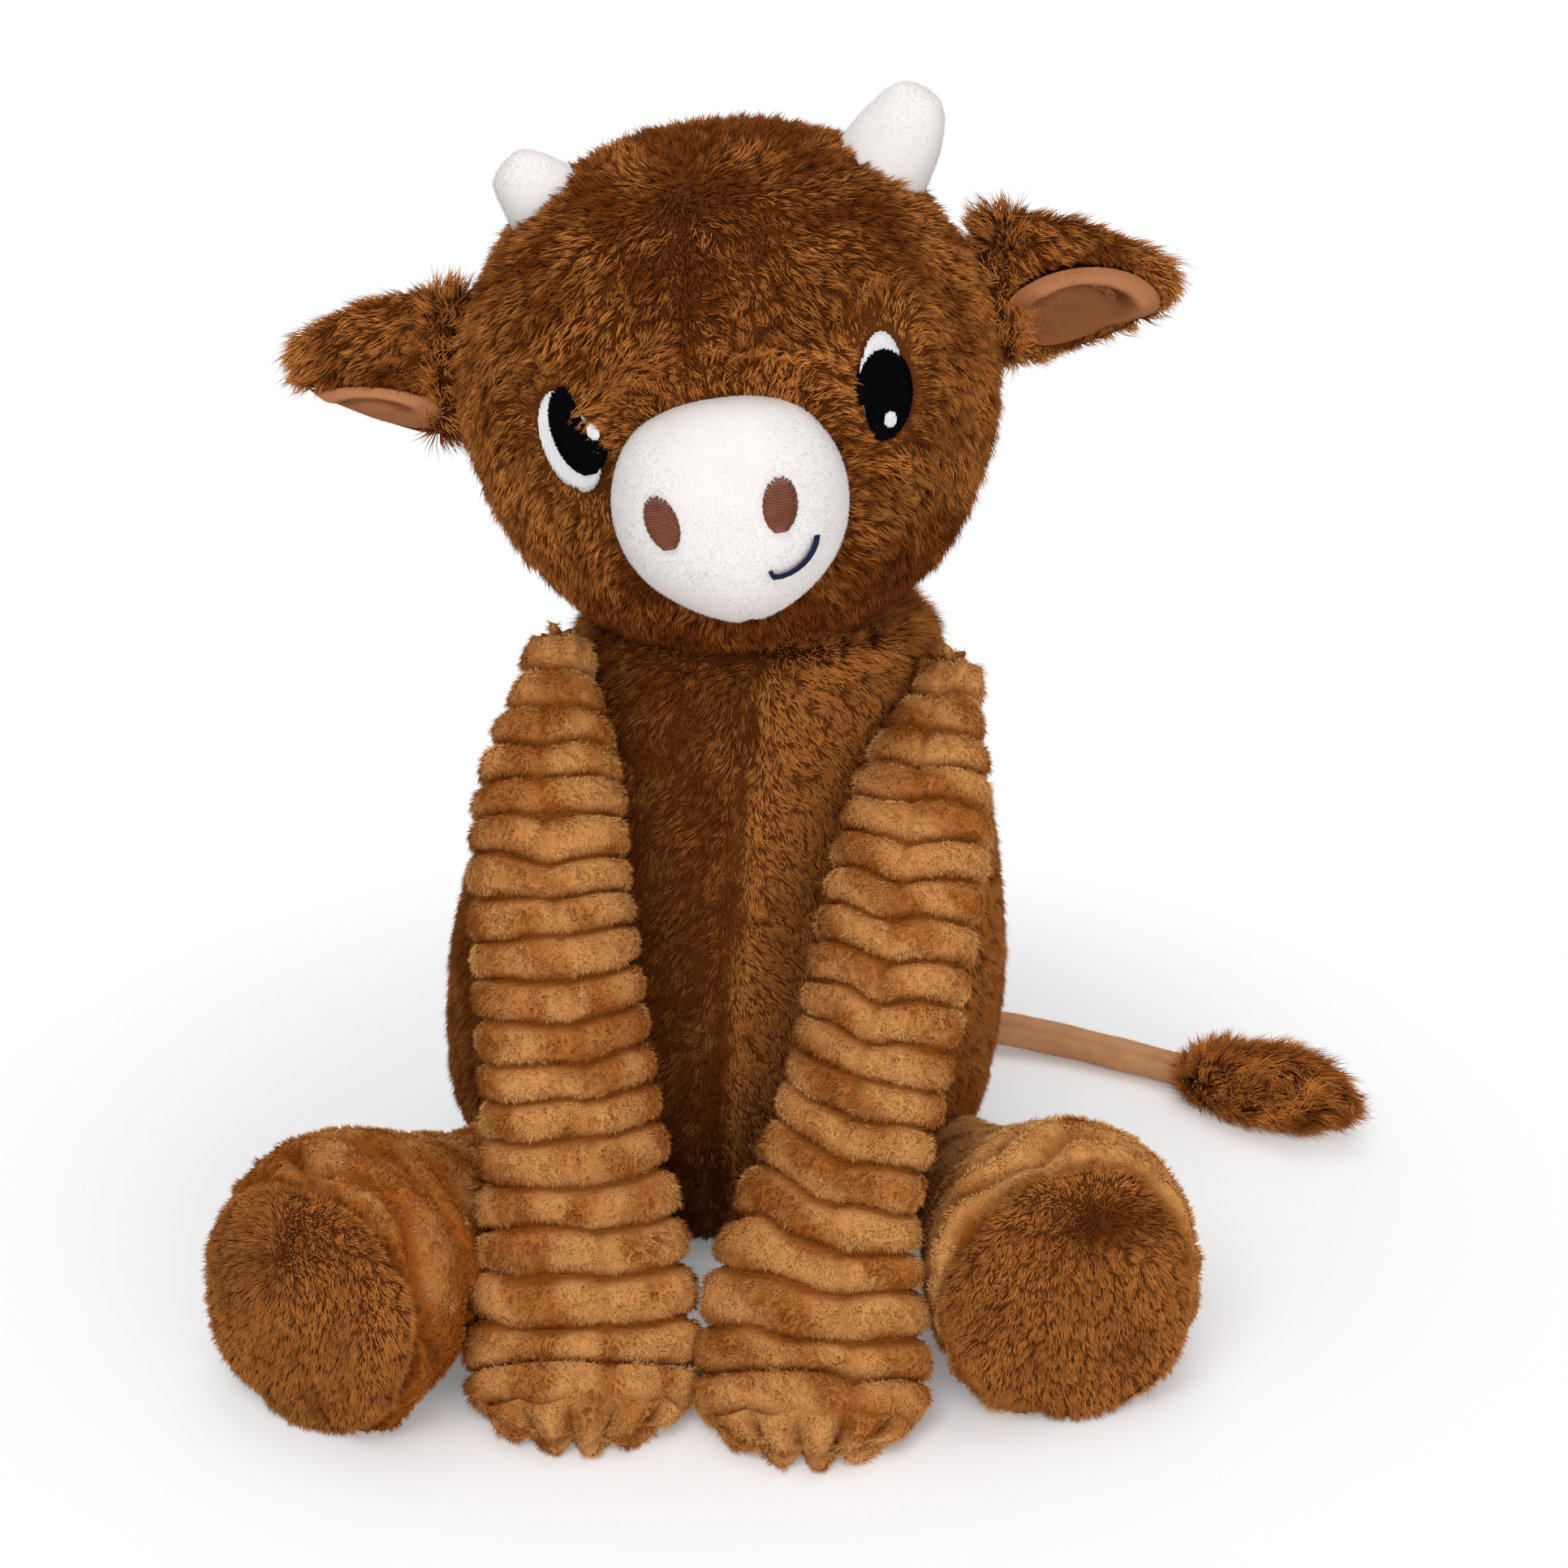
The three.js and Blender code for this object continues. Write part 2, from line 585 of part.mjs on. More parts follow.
function earCup(place, shrink) {
  const sizes = [EAR_LENGTH * place.lengthShare, EAR_HALF_THICKNESS, EAR_HALF_HEIGHT];
  const [a, b, c] = sizes.map((size, axis) => size * cupSizeShares[axis] - shrink);
  const [x, y, z] = sizes.map((size, axis) => size * cupPlaceShares[axis]);
  const cup = new THREE.SphereGeometry(1, EAR_ROUND, SMALL_ROUND);
  cup.scale(a, b, c);
  cup.translate(place.out * x, y, z);
  return solid(cup);
}

// Horn: a blunt cone that leans outward from the top of the head.
const hornSeatShare = 0.33;
const hornShares = [[0, 0], [1, 0], [0.94, 0.45], [0.78, 0.72], [0.58, 0.89], [0.3, 0.98], [0, 1]];
function hornShape(out) {
  const lean = THREE.MathUtils.degToRad(HORN_SPLAY);
  const profile = hornShares.map(
    ([wideShare, share]) => new THREE.Vector2(HORN_RADIUS * wideShare, HORN_LENGTH * share),
  );
  const cone = new THREE.LatheGeometry(profile, CORE_ROUND);
  cone.rotateX(Math.PI / 2);
  cone.translate(0, 0, -HORN_LENGTH * hornSeatShare);
  cone.rotateY(out * lean);
  cone.translate(HORN_X + out * HORN_SPREAD, 0, HORN_RISE);
  return solid(cone);
}

const toy = new THREE.Group();
function addNode(name, shape, material) {
  const mesh = new THREE.Mesh(geometryOf(mainBody(shape)), material);
  mesh.name = name;
  toy.add(mesh);
}

// Solids that others are cut by
const floor = above(0);
const bodyOuter = bodyShape(0);
const bodyClear = bodyShape(-GAP);
const headAbove = above(neckPlane + GAP);
const headOuter = placed(headShape(0));
const headClear = placed(headShape(-GAP));

// Body: skin, filling and the bag of pellets in it
const armDimples = ['left', 'right'].map((side) => ball(armPaths[side].from, KNOT_RADIUS + GAP));
const tailDimple = ball(tailRoute.getPointAt(0), TAIL_ROOT_RADIUS + GAP);
let bodySkin = bodyOuter.subtract(bodyCore(0, neckPlane + OVERRUN)).subtract(tailDimple);
for (const dimple of armDimples) bodySkin = bodySkin.subtract(dimple);
const pelletRise = BODY_HEIGHT * coreLevelShares[0] + GAP + PELLET_BAG_HEIGHT / 2;
function pelletBag(grow) {
  const bag = new THREE.SphereGeometry(1, CORE_ROUND, SMALL_ROUND);
  bag.rotateX(Math.PI / 2);
  bag.scale(PELLET_BAG_HALF_WIDTH + grow, PELLET_BAG_HALF_DEPTH + grow, PELLET_BAG_HEIGHT / 2 + grow);
  bag.translate(0, 0, pelletRise);
  return solid(bag);
}
const bodyFilling = bodyCore(GAP, neckPlane).subtract(pelletBag(GAP)).intersect(above(pelletRise));
addNode('body_skin', bodySkin, materials.fur);
addNode('body_filling', bodyFilling, materials.filling);
addNode('pellet_bag', pelletBag(0), materials.pellets);

// Head: skin with ear grooves, and its filling
const grooveShare = 1.125;
const grooves = ['left', 'right'].map((side) => {
  const place = earPlaces[side];
  const rod = new THREE.CylinderGeometry(
    EAR_ROOT_RADIUS + GAP, EAR_ROOT_RADIUS + GAP, 2 * EAR_HALF_HEIGHT * grooveShare, SMALL_ROUND,
  );
  rod.rotateX(Math.PI / 2);
  return solid(rod).transform(earMatrix(place).elements);
});
let headSkin = headOuter.subtract(placed(headCoreShape(0))).subtract(neckPassage()).intersect(headAbove);
for (const groove of grooves) headSkin = headSkin.subtract(placed(groove));
addNode('head_skin', headSkin, materials.fur);
addNode(
  'head_filling',
  placed(headCoreShape(GAP)).intersect(above(neckPlane + SKIN)),
  materials.filling,
);

// Face
const muzzle = muzzleShape(0).subtract(headShape(-GAP));
addNode('muzzle', placed(muzzle), materials.minky);
for (const [side, out] of [['left', 1], ['right', -1]]) {
  const x = MUZZLE_X + NOSTRIL_X + out * NOSTRIL_SPREAD;
  const outline = prism(
    x, muzzleRear, NOSTRIL_RISE - MUZZLE_DROP, NOSTRIL_HALF_WIDTH, NOSTRIL_HALF_HEIGHT, out * NOSTRIL_LEAN,
  );
  addNode(`nostril_${side}`, placed(patchOver(muzzleShape, outline, 0)), materials.nostril);
}
function smileOutline() {
  const arc = new THREE.Shape();
  const middle = THREE.MathUtils.degToRad(SMILE_TURN);
  const half = THREE.MathUtils.degToRad(SMILE_SPAN) / 2;
  arc.absarc(0, 0, SMILE_RADIUS + SMILE_WIDTH / 2, middle - half, middle + half, false);
  arc.absarc(0, 0, SMILE_RADIUS - SMILE_WIDTH / 2, middle + half, middle - half, true);
  const bar = new THREE.ExtrudeGeometry(
    arc, { depth: HEAD_HALF_DEPTH, bevelEnabled: false, curveSegments: SMALL_ROUND },
  );
  bar.rotateX(Math.PI / 2);
  bar.translate(MUZZLE_X + SMILE_X, muzzleRear, -MUZZLE_DROP - SMILE_DROP);
  return solid(bar);
}
addNode('smile', placed(patchOver(muzzleShape, smileOutline(), 0)), materials.navy);
const headGrown = (grow) => headShape(-grow);
const eyeLooks = {
  left: { out: 1, placeShares: [0.569, -0.008], whiteShares: [-0.2, 1], shineShares: [0.25, -0.5] },
  right: { out: -1, placeShares: [-0.514, 0.084], whiteShares: [-0.9, -0.6], shineShares: [0.5, 0.05] },
};
const eyeRimShare = 0.4;
for (const side of ['left', 'right']) {
  const look = eyeLooks[side];
  const x = HEAD_HALF_WIDTH * look.placeShares[0];
  const z = HEAD_HALF_HEIGHT * look.placeShares[1];
  const lean = look.out * EYE_LEAN;
  const rim = EYE_WHITE_RIM * eyeRimShare;
  const white = prism(
    x + look.whiteShares[0] * EYE_WHITE_RIM,
    eyeRear,
    z + look.whiteShares[1] * EYE_WHITE_RIM,
    EYE_HALF_WIDTH + rim,
    EYE_HALF_HEIGHT + rim,
    lean,
  );
  const pupil = prism(x, eyeRear, z, EYE_HALF_WIDTH, EYE_HALF_HEIGHT, lean);
  const shine = prism(
    x + look.shineShares[0] * EYE_HALF_WIDTH,
    eyeRear,
    z + look.shineShares[1] * EYE_HALF_HEIGHT,
    HIGHLIGHT_HALF_WIDTH,
    HIGHLIGHT_HALF_HEIGHT,
    lean,
  );
  addNode(`eye_white_${side}`, placed(patchOver(headGrown, white, 0)), materials.white);
  addNode(`pupil_${side}`, placed(patchOver(headGrown, pupil, 1)), materials.black);
  addNode(`highlight_${side}`, placed(patchOver(headGrown, shine, 2)), materials.white);
}

// Horns and ears
const rootShare = 0.92;
for (const [side, out] of [['left', 1], ['right', -1]]) {
  addNode(`horn_${side}`, placed(hornShape(out)).subtract(headClear), materials.minky);
}
for (const side of ['left', 'right']) {
  const place = earPlaces[side];
  const turned = earMatrix(place);
  const rounded = new THREE.CylinderGeometry(
    EAR_ROOT_RADIUS, EAR_ROOT_RADIUS, 2 * EAR_HALF_HEIGHT * rootShare, SMALL_ROUND,
  );
  rounded.rotateX(Math.PI / 2);
  const leaf = earLeaf(place).add(solid(rounded));
  const back = leaf.subtract(earCup(place, 0)).transform(turned.elements);
  const lining = earLeaf(place).intersect(earCup(place, GAP)).subtract(earCup(place, GAP + EAR_LINING));
  const groove = placed(grooves[side === 'left' ? 0 : 1]);
  addNode(`ear_${side}`, placed(back).subtract(headClear.subtract(groove)), materials.fur);
  addNode(`ear_lining_${side}`, placed(lining.transform(turned.elements)), materials.tan);
}

// Arms
for (const side of ['left', 'right']) {
  const path = armPaths[side];
  const skin = armShape(path).intersect(floor);
  addNode(`arm_skin_${side}`, skin.subtract(armHollow(path)), materials.ribbed);
  addNode(`arm_filling_${side}`, armCore(path).subtract(ball(path.from, KNOT_RADIUS)), materials.filling);
}

// Legs and soles
for (const side of ['left', 'right']) {
  const path = legPaths[side];
  const sleeve = legShape(path).subtract(bodyClear).intersect(floor);
  const hollow = tubeCore(path, legCoreRing, legCoreShares, 0, OVERRUN, OVERRUN);
  const filling = tubeCore(path, legCoreRing, legCoreShares, GAP, 0, 0);
  addNode(`leg_skin_${side}`, sleeve.subtract(hollow), materials.ribbed);
  addNode(`leg_filling_${side}`, filling.subtract(bodyClear), materials.filling);
  addNode(`sole_${side}`, soleShape(path).intersect(floor), materials.fur);
}

// Tail
addNode('tail_tube', tailShape(0).intersect(floor), materials.tan);
addNode('tail_tuft', tuftShape().subtract(tailShape(GAP)).intersect(floor), materials.fur);

export default toy;
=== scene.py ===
"""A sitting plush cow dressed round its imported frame: sewn covers, mesh pile, stitching, light and camera.

Sizes are millimetres in the row frame (+Z up, the toy faces -Y, its own left is +X), and meshes are
written in metres. Every cover repeats the share tables of the frame's solids, so it sits where they sit.
"""

import json
import logging
import math
from abc import ABC, abstractmethod
from dataclasses import KW_ONLY, dataclass, field
from enum import IntEnum
from functools import cache
from typing import Callable, Optional, Union

import bpy
import numpy as np
from mathutils import Euler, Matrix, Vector, kdtree

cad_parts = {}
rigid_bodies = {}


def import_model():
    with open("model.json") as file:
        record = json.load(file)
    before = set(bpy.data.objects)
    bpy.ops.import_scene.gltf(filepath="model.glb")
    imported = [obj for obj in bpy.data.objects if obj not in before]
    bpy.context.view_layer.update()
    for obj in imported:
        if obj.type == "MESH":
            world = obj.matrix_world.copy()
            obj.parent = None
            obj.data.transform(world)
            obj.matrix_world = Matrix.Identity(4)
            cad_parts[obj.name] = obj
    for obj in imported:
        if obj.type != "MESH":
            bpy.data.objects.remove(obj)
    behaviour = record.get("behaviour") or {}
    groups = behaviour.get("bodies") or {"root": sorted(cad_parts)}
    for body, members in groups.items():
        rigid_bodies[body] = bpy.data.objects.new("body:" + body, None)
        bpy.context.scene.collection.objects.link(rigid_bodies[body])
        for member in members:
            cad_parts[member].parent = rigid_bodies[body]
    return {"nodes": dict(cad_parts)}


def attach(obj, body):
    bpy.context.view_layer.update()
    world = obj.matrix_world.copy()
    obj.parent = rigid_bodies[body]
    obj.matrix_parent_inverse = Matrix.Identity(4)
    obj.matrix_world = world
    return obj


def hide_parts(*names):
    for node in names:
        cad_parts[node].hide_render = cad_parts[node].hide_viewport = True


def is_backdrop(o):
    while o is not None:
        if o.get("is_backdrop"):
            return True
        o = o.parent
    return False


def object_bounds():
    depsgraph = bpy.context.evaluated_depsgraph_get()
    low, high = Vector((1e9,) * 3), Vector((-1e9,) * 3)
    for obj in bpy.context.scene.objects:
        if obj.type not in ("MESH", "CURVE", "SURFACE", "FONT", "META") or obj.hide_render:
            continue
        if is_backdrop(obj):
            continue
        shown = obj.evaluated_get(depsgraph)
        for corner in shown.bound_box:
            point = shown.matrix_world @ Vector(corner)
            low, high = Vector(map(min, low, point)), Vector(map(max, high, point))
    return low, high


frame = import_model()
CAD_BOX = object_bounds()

LOG = logging.getLogger("plush_cow")
Array = np.ndarray
Pair = tuple[float, float]
Rows = tuple[Pair, ...]
Point = tuple[float, float, float]
Colour = tuple[float, float, float]

MM = 0.001
UP = np.array([0.0, 0.0, 1.0])
WHITE = (1.0, 1.0, 1.0)
PIECE_TRIANGLES = 190000
FLOOR_CLEAR = 0.25
COVER_CLEAR = FLOOR_CLEAR + 0.3
LEAST_FIBRE = 0.05
FIBRE_DEPTH = 0.3
FIBRE_TAPER = 0.45
FIBRE_FLATNESS = 0.7
TURN_PATCH = 16.0
CUT_START = (0.31, 0.87, 0.38)
THREAD_SIDE = (0.13, 0.97, 0.21)


class Side(IntEnum):
    """The toy's own side, as the sign of its X."""

    LEFT = 1
    RIGHT = -1

    @property
    def word(self) -> str:
        """The side's name as the nodes write it."""
        return self.name.lower()


# Tables, vectors and noise


def along(rows: Rows, share: Array) -> Array:
    """Reads a table of (share, value) rows with a smooth curve through them.

    Args:
        rows: The table, with rising shares.
        share: Where to read it.

    Returns:
        The value at each share.
    """
    x, y = np.array(rows, float).T
    share = np.asarray(share, float)
    slope = np.empty_like(y)
    slope[1:-1] = (y[2:] - y[:-2]) / (x[2:] - x[:-2])
    slope[0] = (y[1] - y[0]) / (x[1] - x[0])
    slope[-1] = (y[-1] - y[-2]) / (x[-1] - x[-2])
    i = np.clip(np.searchsorted(x, share, side="right") - 1, 0, len(x) - 2)
    span = x[i + 1] - x[i]
    t = np.clip((share - x[i]) / span, 0, 1)
    t2, t3 = t * t, t * t * t
    start = (2 * t3 - 3 * t2 + 1) * y[i] + (t3 - 2 * t2 + t) * slope[i] * span
    return start + (3 * t2 - 2 * t3) * y[i + 1] + (t3 - t2) * slope[i + 1] * span


def unit(vectors: Array) -> Array:
    """Vectors of length one."""
    return vectors / np.maximum(np.linalg.norm(vectors, axis=-1, keepdims=True), 1e-9)


def bell(distance: Array, width: float) -> Array:
    """A smooth bump, 1 at no distance and near 0 beyond twice the width."""
    return np.exp(-((distance / width) ** 2))


def flat_on(vectors: Array, normals: Array) -> Array:
    """Vectors laid in the plane square to the normals."""
    return vectors - normals * np.sum(vectors * normals, axis=-1, keepdims=True)


def circle(count: int) -> Array:
    """The turns of points spaced evenly round a ring."""
    return 2 * np.pi * np.arange(count) / count


def wrapped(turn: Array) -> Array:
    """Turns brought to within half a turn either way."""
    return np.arctan2(np.sin(turn), np.cos(turn))


def rise(value: Array, start: float, span: float) -> Array:
    """0 up to the start, 1 from a span beyond it, and even between."""
    return np.clip((value - start) / span, 0, 1)


def fall(value: Array, end: float, span: float) -> Array:
    """1 up to a span short of the end, 0 from the end, and even between."""
    return np.clip((end - value) / span, 0, 1)


def from_ends(count: int) -> Array:
    """The share of a row's length from each of its points to the nearer end."""
    return np.minimum(np.linspace(0, 1, count), np.linspace(1, 0, count))


def xyz(x: Array, y: Array, z: Array) -> Array:
    """Points from coordinates, which are spread over rings and turns where they have only one of the two."""
    return np.stack(np.broadcast_arrays(x, y, z), -1)


def lifted(points: Array, level: float) -> Array:
    """Points, with those below a level lifted to it."""
    return np.concatenate([points[..., :2], np.maximum(points[..., 2:], level)], -1)


def about_y(angle: float) -> Array:
    """The matrix of a turn about Y, by an angle in degrees."""
    cos, sin = math.cos(math.radians(angle)), math.sin(math.radians(angle))
    return np.array([[cos, 0, sin], [0, 1, 0], [-sin, 0, cos]])


def about_z(angle: float) -> Array:
    """The matrix of a turn about Z, by an angle in degrees."""
    cos, sin = math.cos(math.radians(angle)), math.sin(math.radians(angle))
    return np.array([[cos, -sin, 0], [sin, cos, 0], [0, 0, 1]])


class Waves:
    """Smooth repeatable noise, a sum of sines, about 1 in size."""

    def __init__(self, wavelength: float, seed: int, count: int = 12) -> None:
        """Draws the waves.

        Args:
            wavelength: The usual size of a lump, in millimetres.
            seed: The seed of the draw.
            count: How many waves are added up.
        """
        rng = np.random.default_rng(seed)
        size = 2 * np.pi / (wavelength * rng.uniform(0.75, 1.5, (count, 1)))
        self.waves = unit(rng.normal(size=(count, 3))) * size
        self.phase = rng.uniform(0, 2 * np.pi, count)
        self.share = math.sqrt(2 / count)

    def value(self, points: Array) -> Array:
        """The noise at each point."""
        return np.sin(points @ self.waves.T + self.phase).sum(-1) * self.share


# Meshes


def make_object(name: str, points: Array, faces: list[Array], uv: Optional[Array] = None) -> bpy.types.Object:
    """Makes a smooth mesh object from points in millimetres.

    Args:
        name: The piece's name.
        points: Its corners.
        faces: Arrays of corner numbers, each array with one count of corners to a face.
        uv: A map value for each face corner, in the order of the faces.

    Returns:
        The object, linked to the scene.
    """
    mesh = bpy.data.meshes.new(name)
    mesh.vertices.add(len(points))
    mesh.vertices.foreach_set("co", (points * MM).astype(np.float32).ravel())
    corners = np.concatenate([f.ravel() for f in faces]).astype(np.int32)
    sizes = np.concatenate([np.full(len(f), f.shape[1], np.int32) for f in faces])
    starts = np.concatenate([[0], np.cumsum(sizes)[:-1]]).astype(np.int32)
    mesh.loops.add(len(corners))
    mesh.loops.foreach_set("vertex_index", corners)
    mesh.polygons.add(len(sizes))
    mesh.polygons.foreach_set("loop_start", starts)
    mesh.polygons.foreach_set("use_smooth", np.ones(len(sizes), bool))
    mesh.update(calc_edges=True)
    if uv is not None:
        layer = mesh.uv_layers.new(name="OFBake")
        layer.data.foreach_set("uv", uv.astype(np.float32).ravel())
    piece = bpy.data.objects.new(name, mesh)
    bpy.context.scene.collection.objects.link(piece)
    return piece


@dataclass
class Roots:
    """Places on a skin where fibres may stand, with the skin's normal and mark at each."""

    points: Array
    normals: Array
    marks: Array

    def only(self, keep: Array) -> "Roots":
        """The roots that are kept."""
        return Roots(self.points[keep], self.normals[keep], self.marks[keep])


Field = Callable[[Roots], Array]
Axis = tuple[Union[Point, Array], Array]


@dataclass
class Cloth:
    """A sewn skin: rings of points round an axis, closed by a fan at each end, in millimetres.

    The marks give each ring point a number that its fibres can follow, such as the height of a rib.
    """

    rings: Array
    marks: Optional[Array] = None
    points: Array = field(init=False)
    quads: Array = field(init=False)
    fans: Array = field(init=False)
    normals: Array = field(init=False)

    def __post_init__(self) -> None:
        """Works out the faces, turned the right way out, and the normals."""
        rows, columns, _ = self.rings.shape
        hubs = np.stack([self.rings[0].mean(0), self.rings[-1].mean(0)])
        self.points = np.concatenate([self.rings.reshape(-1, 3), hubs])
        row, column = np.meshgrid(np.arange(rows - 1), np.arange(columns), indexing="ij")
        a = (row * columns + column).ravel()
        b = (row * columns + (column + 1) % columns).ravel()
        self.quads = np.stack([a, b, b + columns, a + columns], 1)
        first = np.arange(columns)
        following = (first + 1) % columns
        last = (rows - 1) * columns
        start = np.stack([following, first, np.full(columns, rows * columns)], 1)
        end = np.stack([last + first, last + following, np.full(columns, rows * columns + 1)], 1)
        self.fans = np.concatenate([start, end])
        corner = self.points[self.triangles()]
        if np.einsum("ij,ij->i", corner[:, 0], np.cross(corner[:, 1], corner[:, 2])).sum() < 0:
            self.quads = self.quads[:, ::-1]
            self.fans = self.fans[:, ::-1]
            corner = self.points[self.triangles()]
        face = np.cross(corner[:, 1] - corner[:, 0], corner[:, 2] - corner[:, 0])
        total = np.zeros_like(self.points)
        for k in range(3):
            np.add.at(total, self.triangles()[:, k], face)
        self.normals = unit(total)
        flat = np.ones(rows * columns) if self.marks is None else self.marks.ravel()
        self.marks = np.concatenate([flat, [flat[0], flat[-1]]])

    def roots(self) -> Roots:
        """The skin's own points, as roots."""
        return Roots(self.points, self.normals, self.marks)

    def triangles(self) -> Array:
        """All faces as triangles."""
        return np.concatenate([self.quads[:, [0, 1, 2]], self.quads[:, [0, 2, 3]], self.fans])

    def shaded_cover(self, name: str, tone: Array) -> bpy.types.Object:
        """The skin as an object mapped as its fibres are, by shade and by height of the mark, nearer the
        roots' colour where the mark is low: painted shade in creases and slits.

        Args:
            name: The piece's name.
            tone: The shade at each of the skin's points.

        Returns:
            The object.
        """
        # A low mark maps the skin nearer the roots' colour: painted shade in creases, folds and slits.
        place = np.stack([np.clip(tone, 0.01, 0.99), 0.05 + 0.25 * np.clip(self.marks, 0, 1)], 1)
        corners = np.concatenate([self.quads.ravel(), self.fans.ravel()])
        return make_object(name, self.points, [self.quads, self.fans], place[corners])

    def cover(self, name: str) -> bpy.types.Object:
        """The skin as an object, with a map of turn and length.

        Args:
            name: The piece's name.

        Returns:
            The object.
        """
        rows, columns, _ = self.rings.shape
        row, column = np.divmod(np.arange(rows * columns), columns)
        place = np.stack([column / columns, row / (rows - 1)], 1)
        place = np.concatenate([place, [[0.5, 0.0], [0.5, 1.0]]])
        uv = np.concatenate([place[self.quads.ravel()], place[self.fans.ravel()]])
        seam = self.quads.ravel() % columns == 0
        wrap = np.repeat((self.quads % columns == columns - 1).any(1), 4)
        uv[: len(seam), 0] += np.where(seam & wrap, 1.0, 0.0)
        return make_object(name, self.points, [self.quads, self.fans], uv)

    def scatter(self, per_mm2: float, rng: np.random.Generator) -> Roots:
        """Drops points on the skin.

        Args:
            per_mm2: How many to each square millimetre.
            rng: Where the draws come from.

        Returns:
            The roots.
        """
        triangles = self.triangles()
        corner = self.points[triangles]
        area = np.linalg.norm(np.cross(corner[:, 1] - corner[:, 0], corner[:, 2] - corner[:, 0]), axis=1) / 2
        chosen = np.repeat(np.arange(len(triangles)), rng.poisson(area * per_mm2))
        root, part = np.sqrt(rng.random(len(chosen))), rng.random(len(chosen))
        weight = np.stack([1 - root, root * (1 - part), root * part], 1)[:, :, None]
        points = (corner[chosen] * weight).sum(1)
        normals = unit((self.normals[triangles[chosen]] * weight).sum(1))
        return Roots(points, normals, (self.marks[triangles[chosen]] * weight[:, :, 0]).sum(1))


class Clumps:
    """The tufts of a pile: where their fibres draw together, and each tuft's own turn, size and shade."""

    def __init__(self, cloth: Cloth, spacing: float, seed: int) -> None:
        """Places the tufts.

        Args:
            cloth: The skin.
            spacing: The distance between tufts.
            seed: The seed of the draws.
        """
        rng = np.random.default_rng(seed)
        self.middles = cloth.scatter(1 / spacing**2, rng).points
        count = len(self.middles)
        self.tree = kdtree.KDTree(count)
        for number, middle in enumerate(self.middles):
            self.tree.insert(middle, number)
        self.tree.balance()
        self.spacing = spacing
        self.turn = rng.normal(size=count)
        self.size = rng.uniform(0.66, 1.2, count)
        self.tone = rng.normal(size=count)

    def nearest(self, points: Array) -> Array:
        """The number of the tuft that each point belongs to."""
        return np.array([self.tree.find(point)[1] for point in points], int)


@dataclass(frozen=True)
class Pile:
    """How the fibres of a pile fabric stand.

    Lean is the share of the length laid along the nap, bends are the shares of the length at which a
    fibre bends, gather is how far its tip draws to the middle of its tuft, and pale is the mean and the
    swing of the fibres' shade from 0, deep, to 1, pale, over patches of the patch size. Fleck is the
    swing from fibre to fibre, and the gap shade how much darker a tuft's edge is painted than its
    middle: painted shade in the gaps between tufts.
    """

    length: float
    width: float
    per_mm2: float
    lean: float = 0.7
    bends: tuple[float, ...] = ()
    stray: float = 0.35
    gather: float = 0.6
    vary: float = 0.35
    pale: Pair = (0.5, 0.25)
    patch: float = 30.0
    fleck: float = 0.08
    pit: float = 0.3


@dataclass
class Coat:
    """A skin with what steers its pile from place to place.

    Nap gives the direction in which the fibres lie, scale each fibre's share of the full length, where 0
    leaves it out, and shade what is added to its shade. Axis is a point and a direction: the fibres are
    cut into pieces by their turn round it.
    """

    cloth: Cloth
    nap: Field
    scale: Optional[Field] = None
    shade: Optional[Field] = None
    axis: Axis = ((0.0, 0.0, 0.0), UP)


def straight(way: Union[Point, Array]) -> Field:
    """A nap that lies the same way everywhere."""
    return lambda roots: np.broadcast_to(way, roots.points.shape)


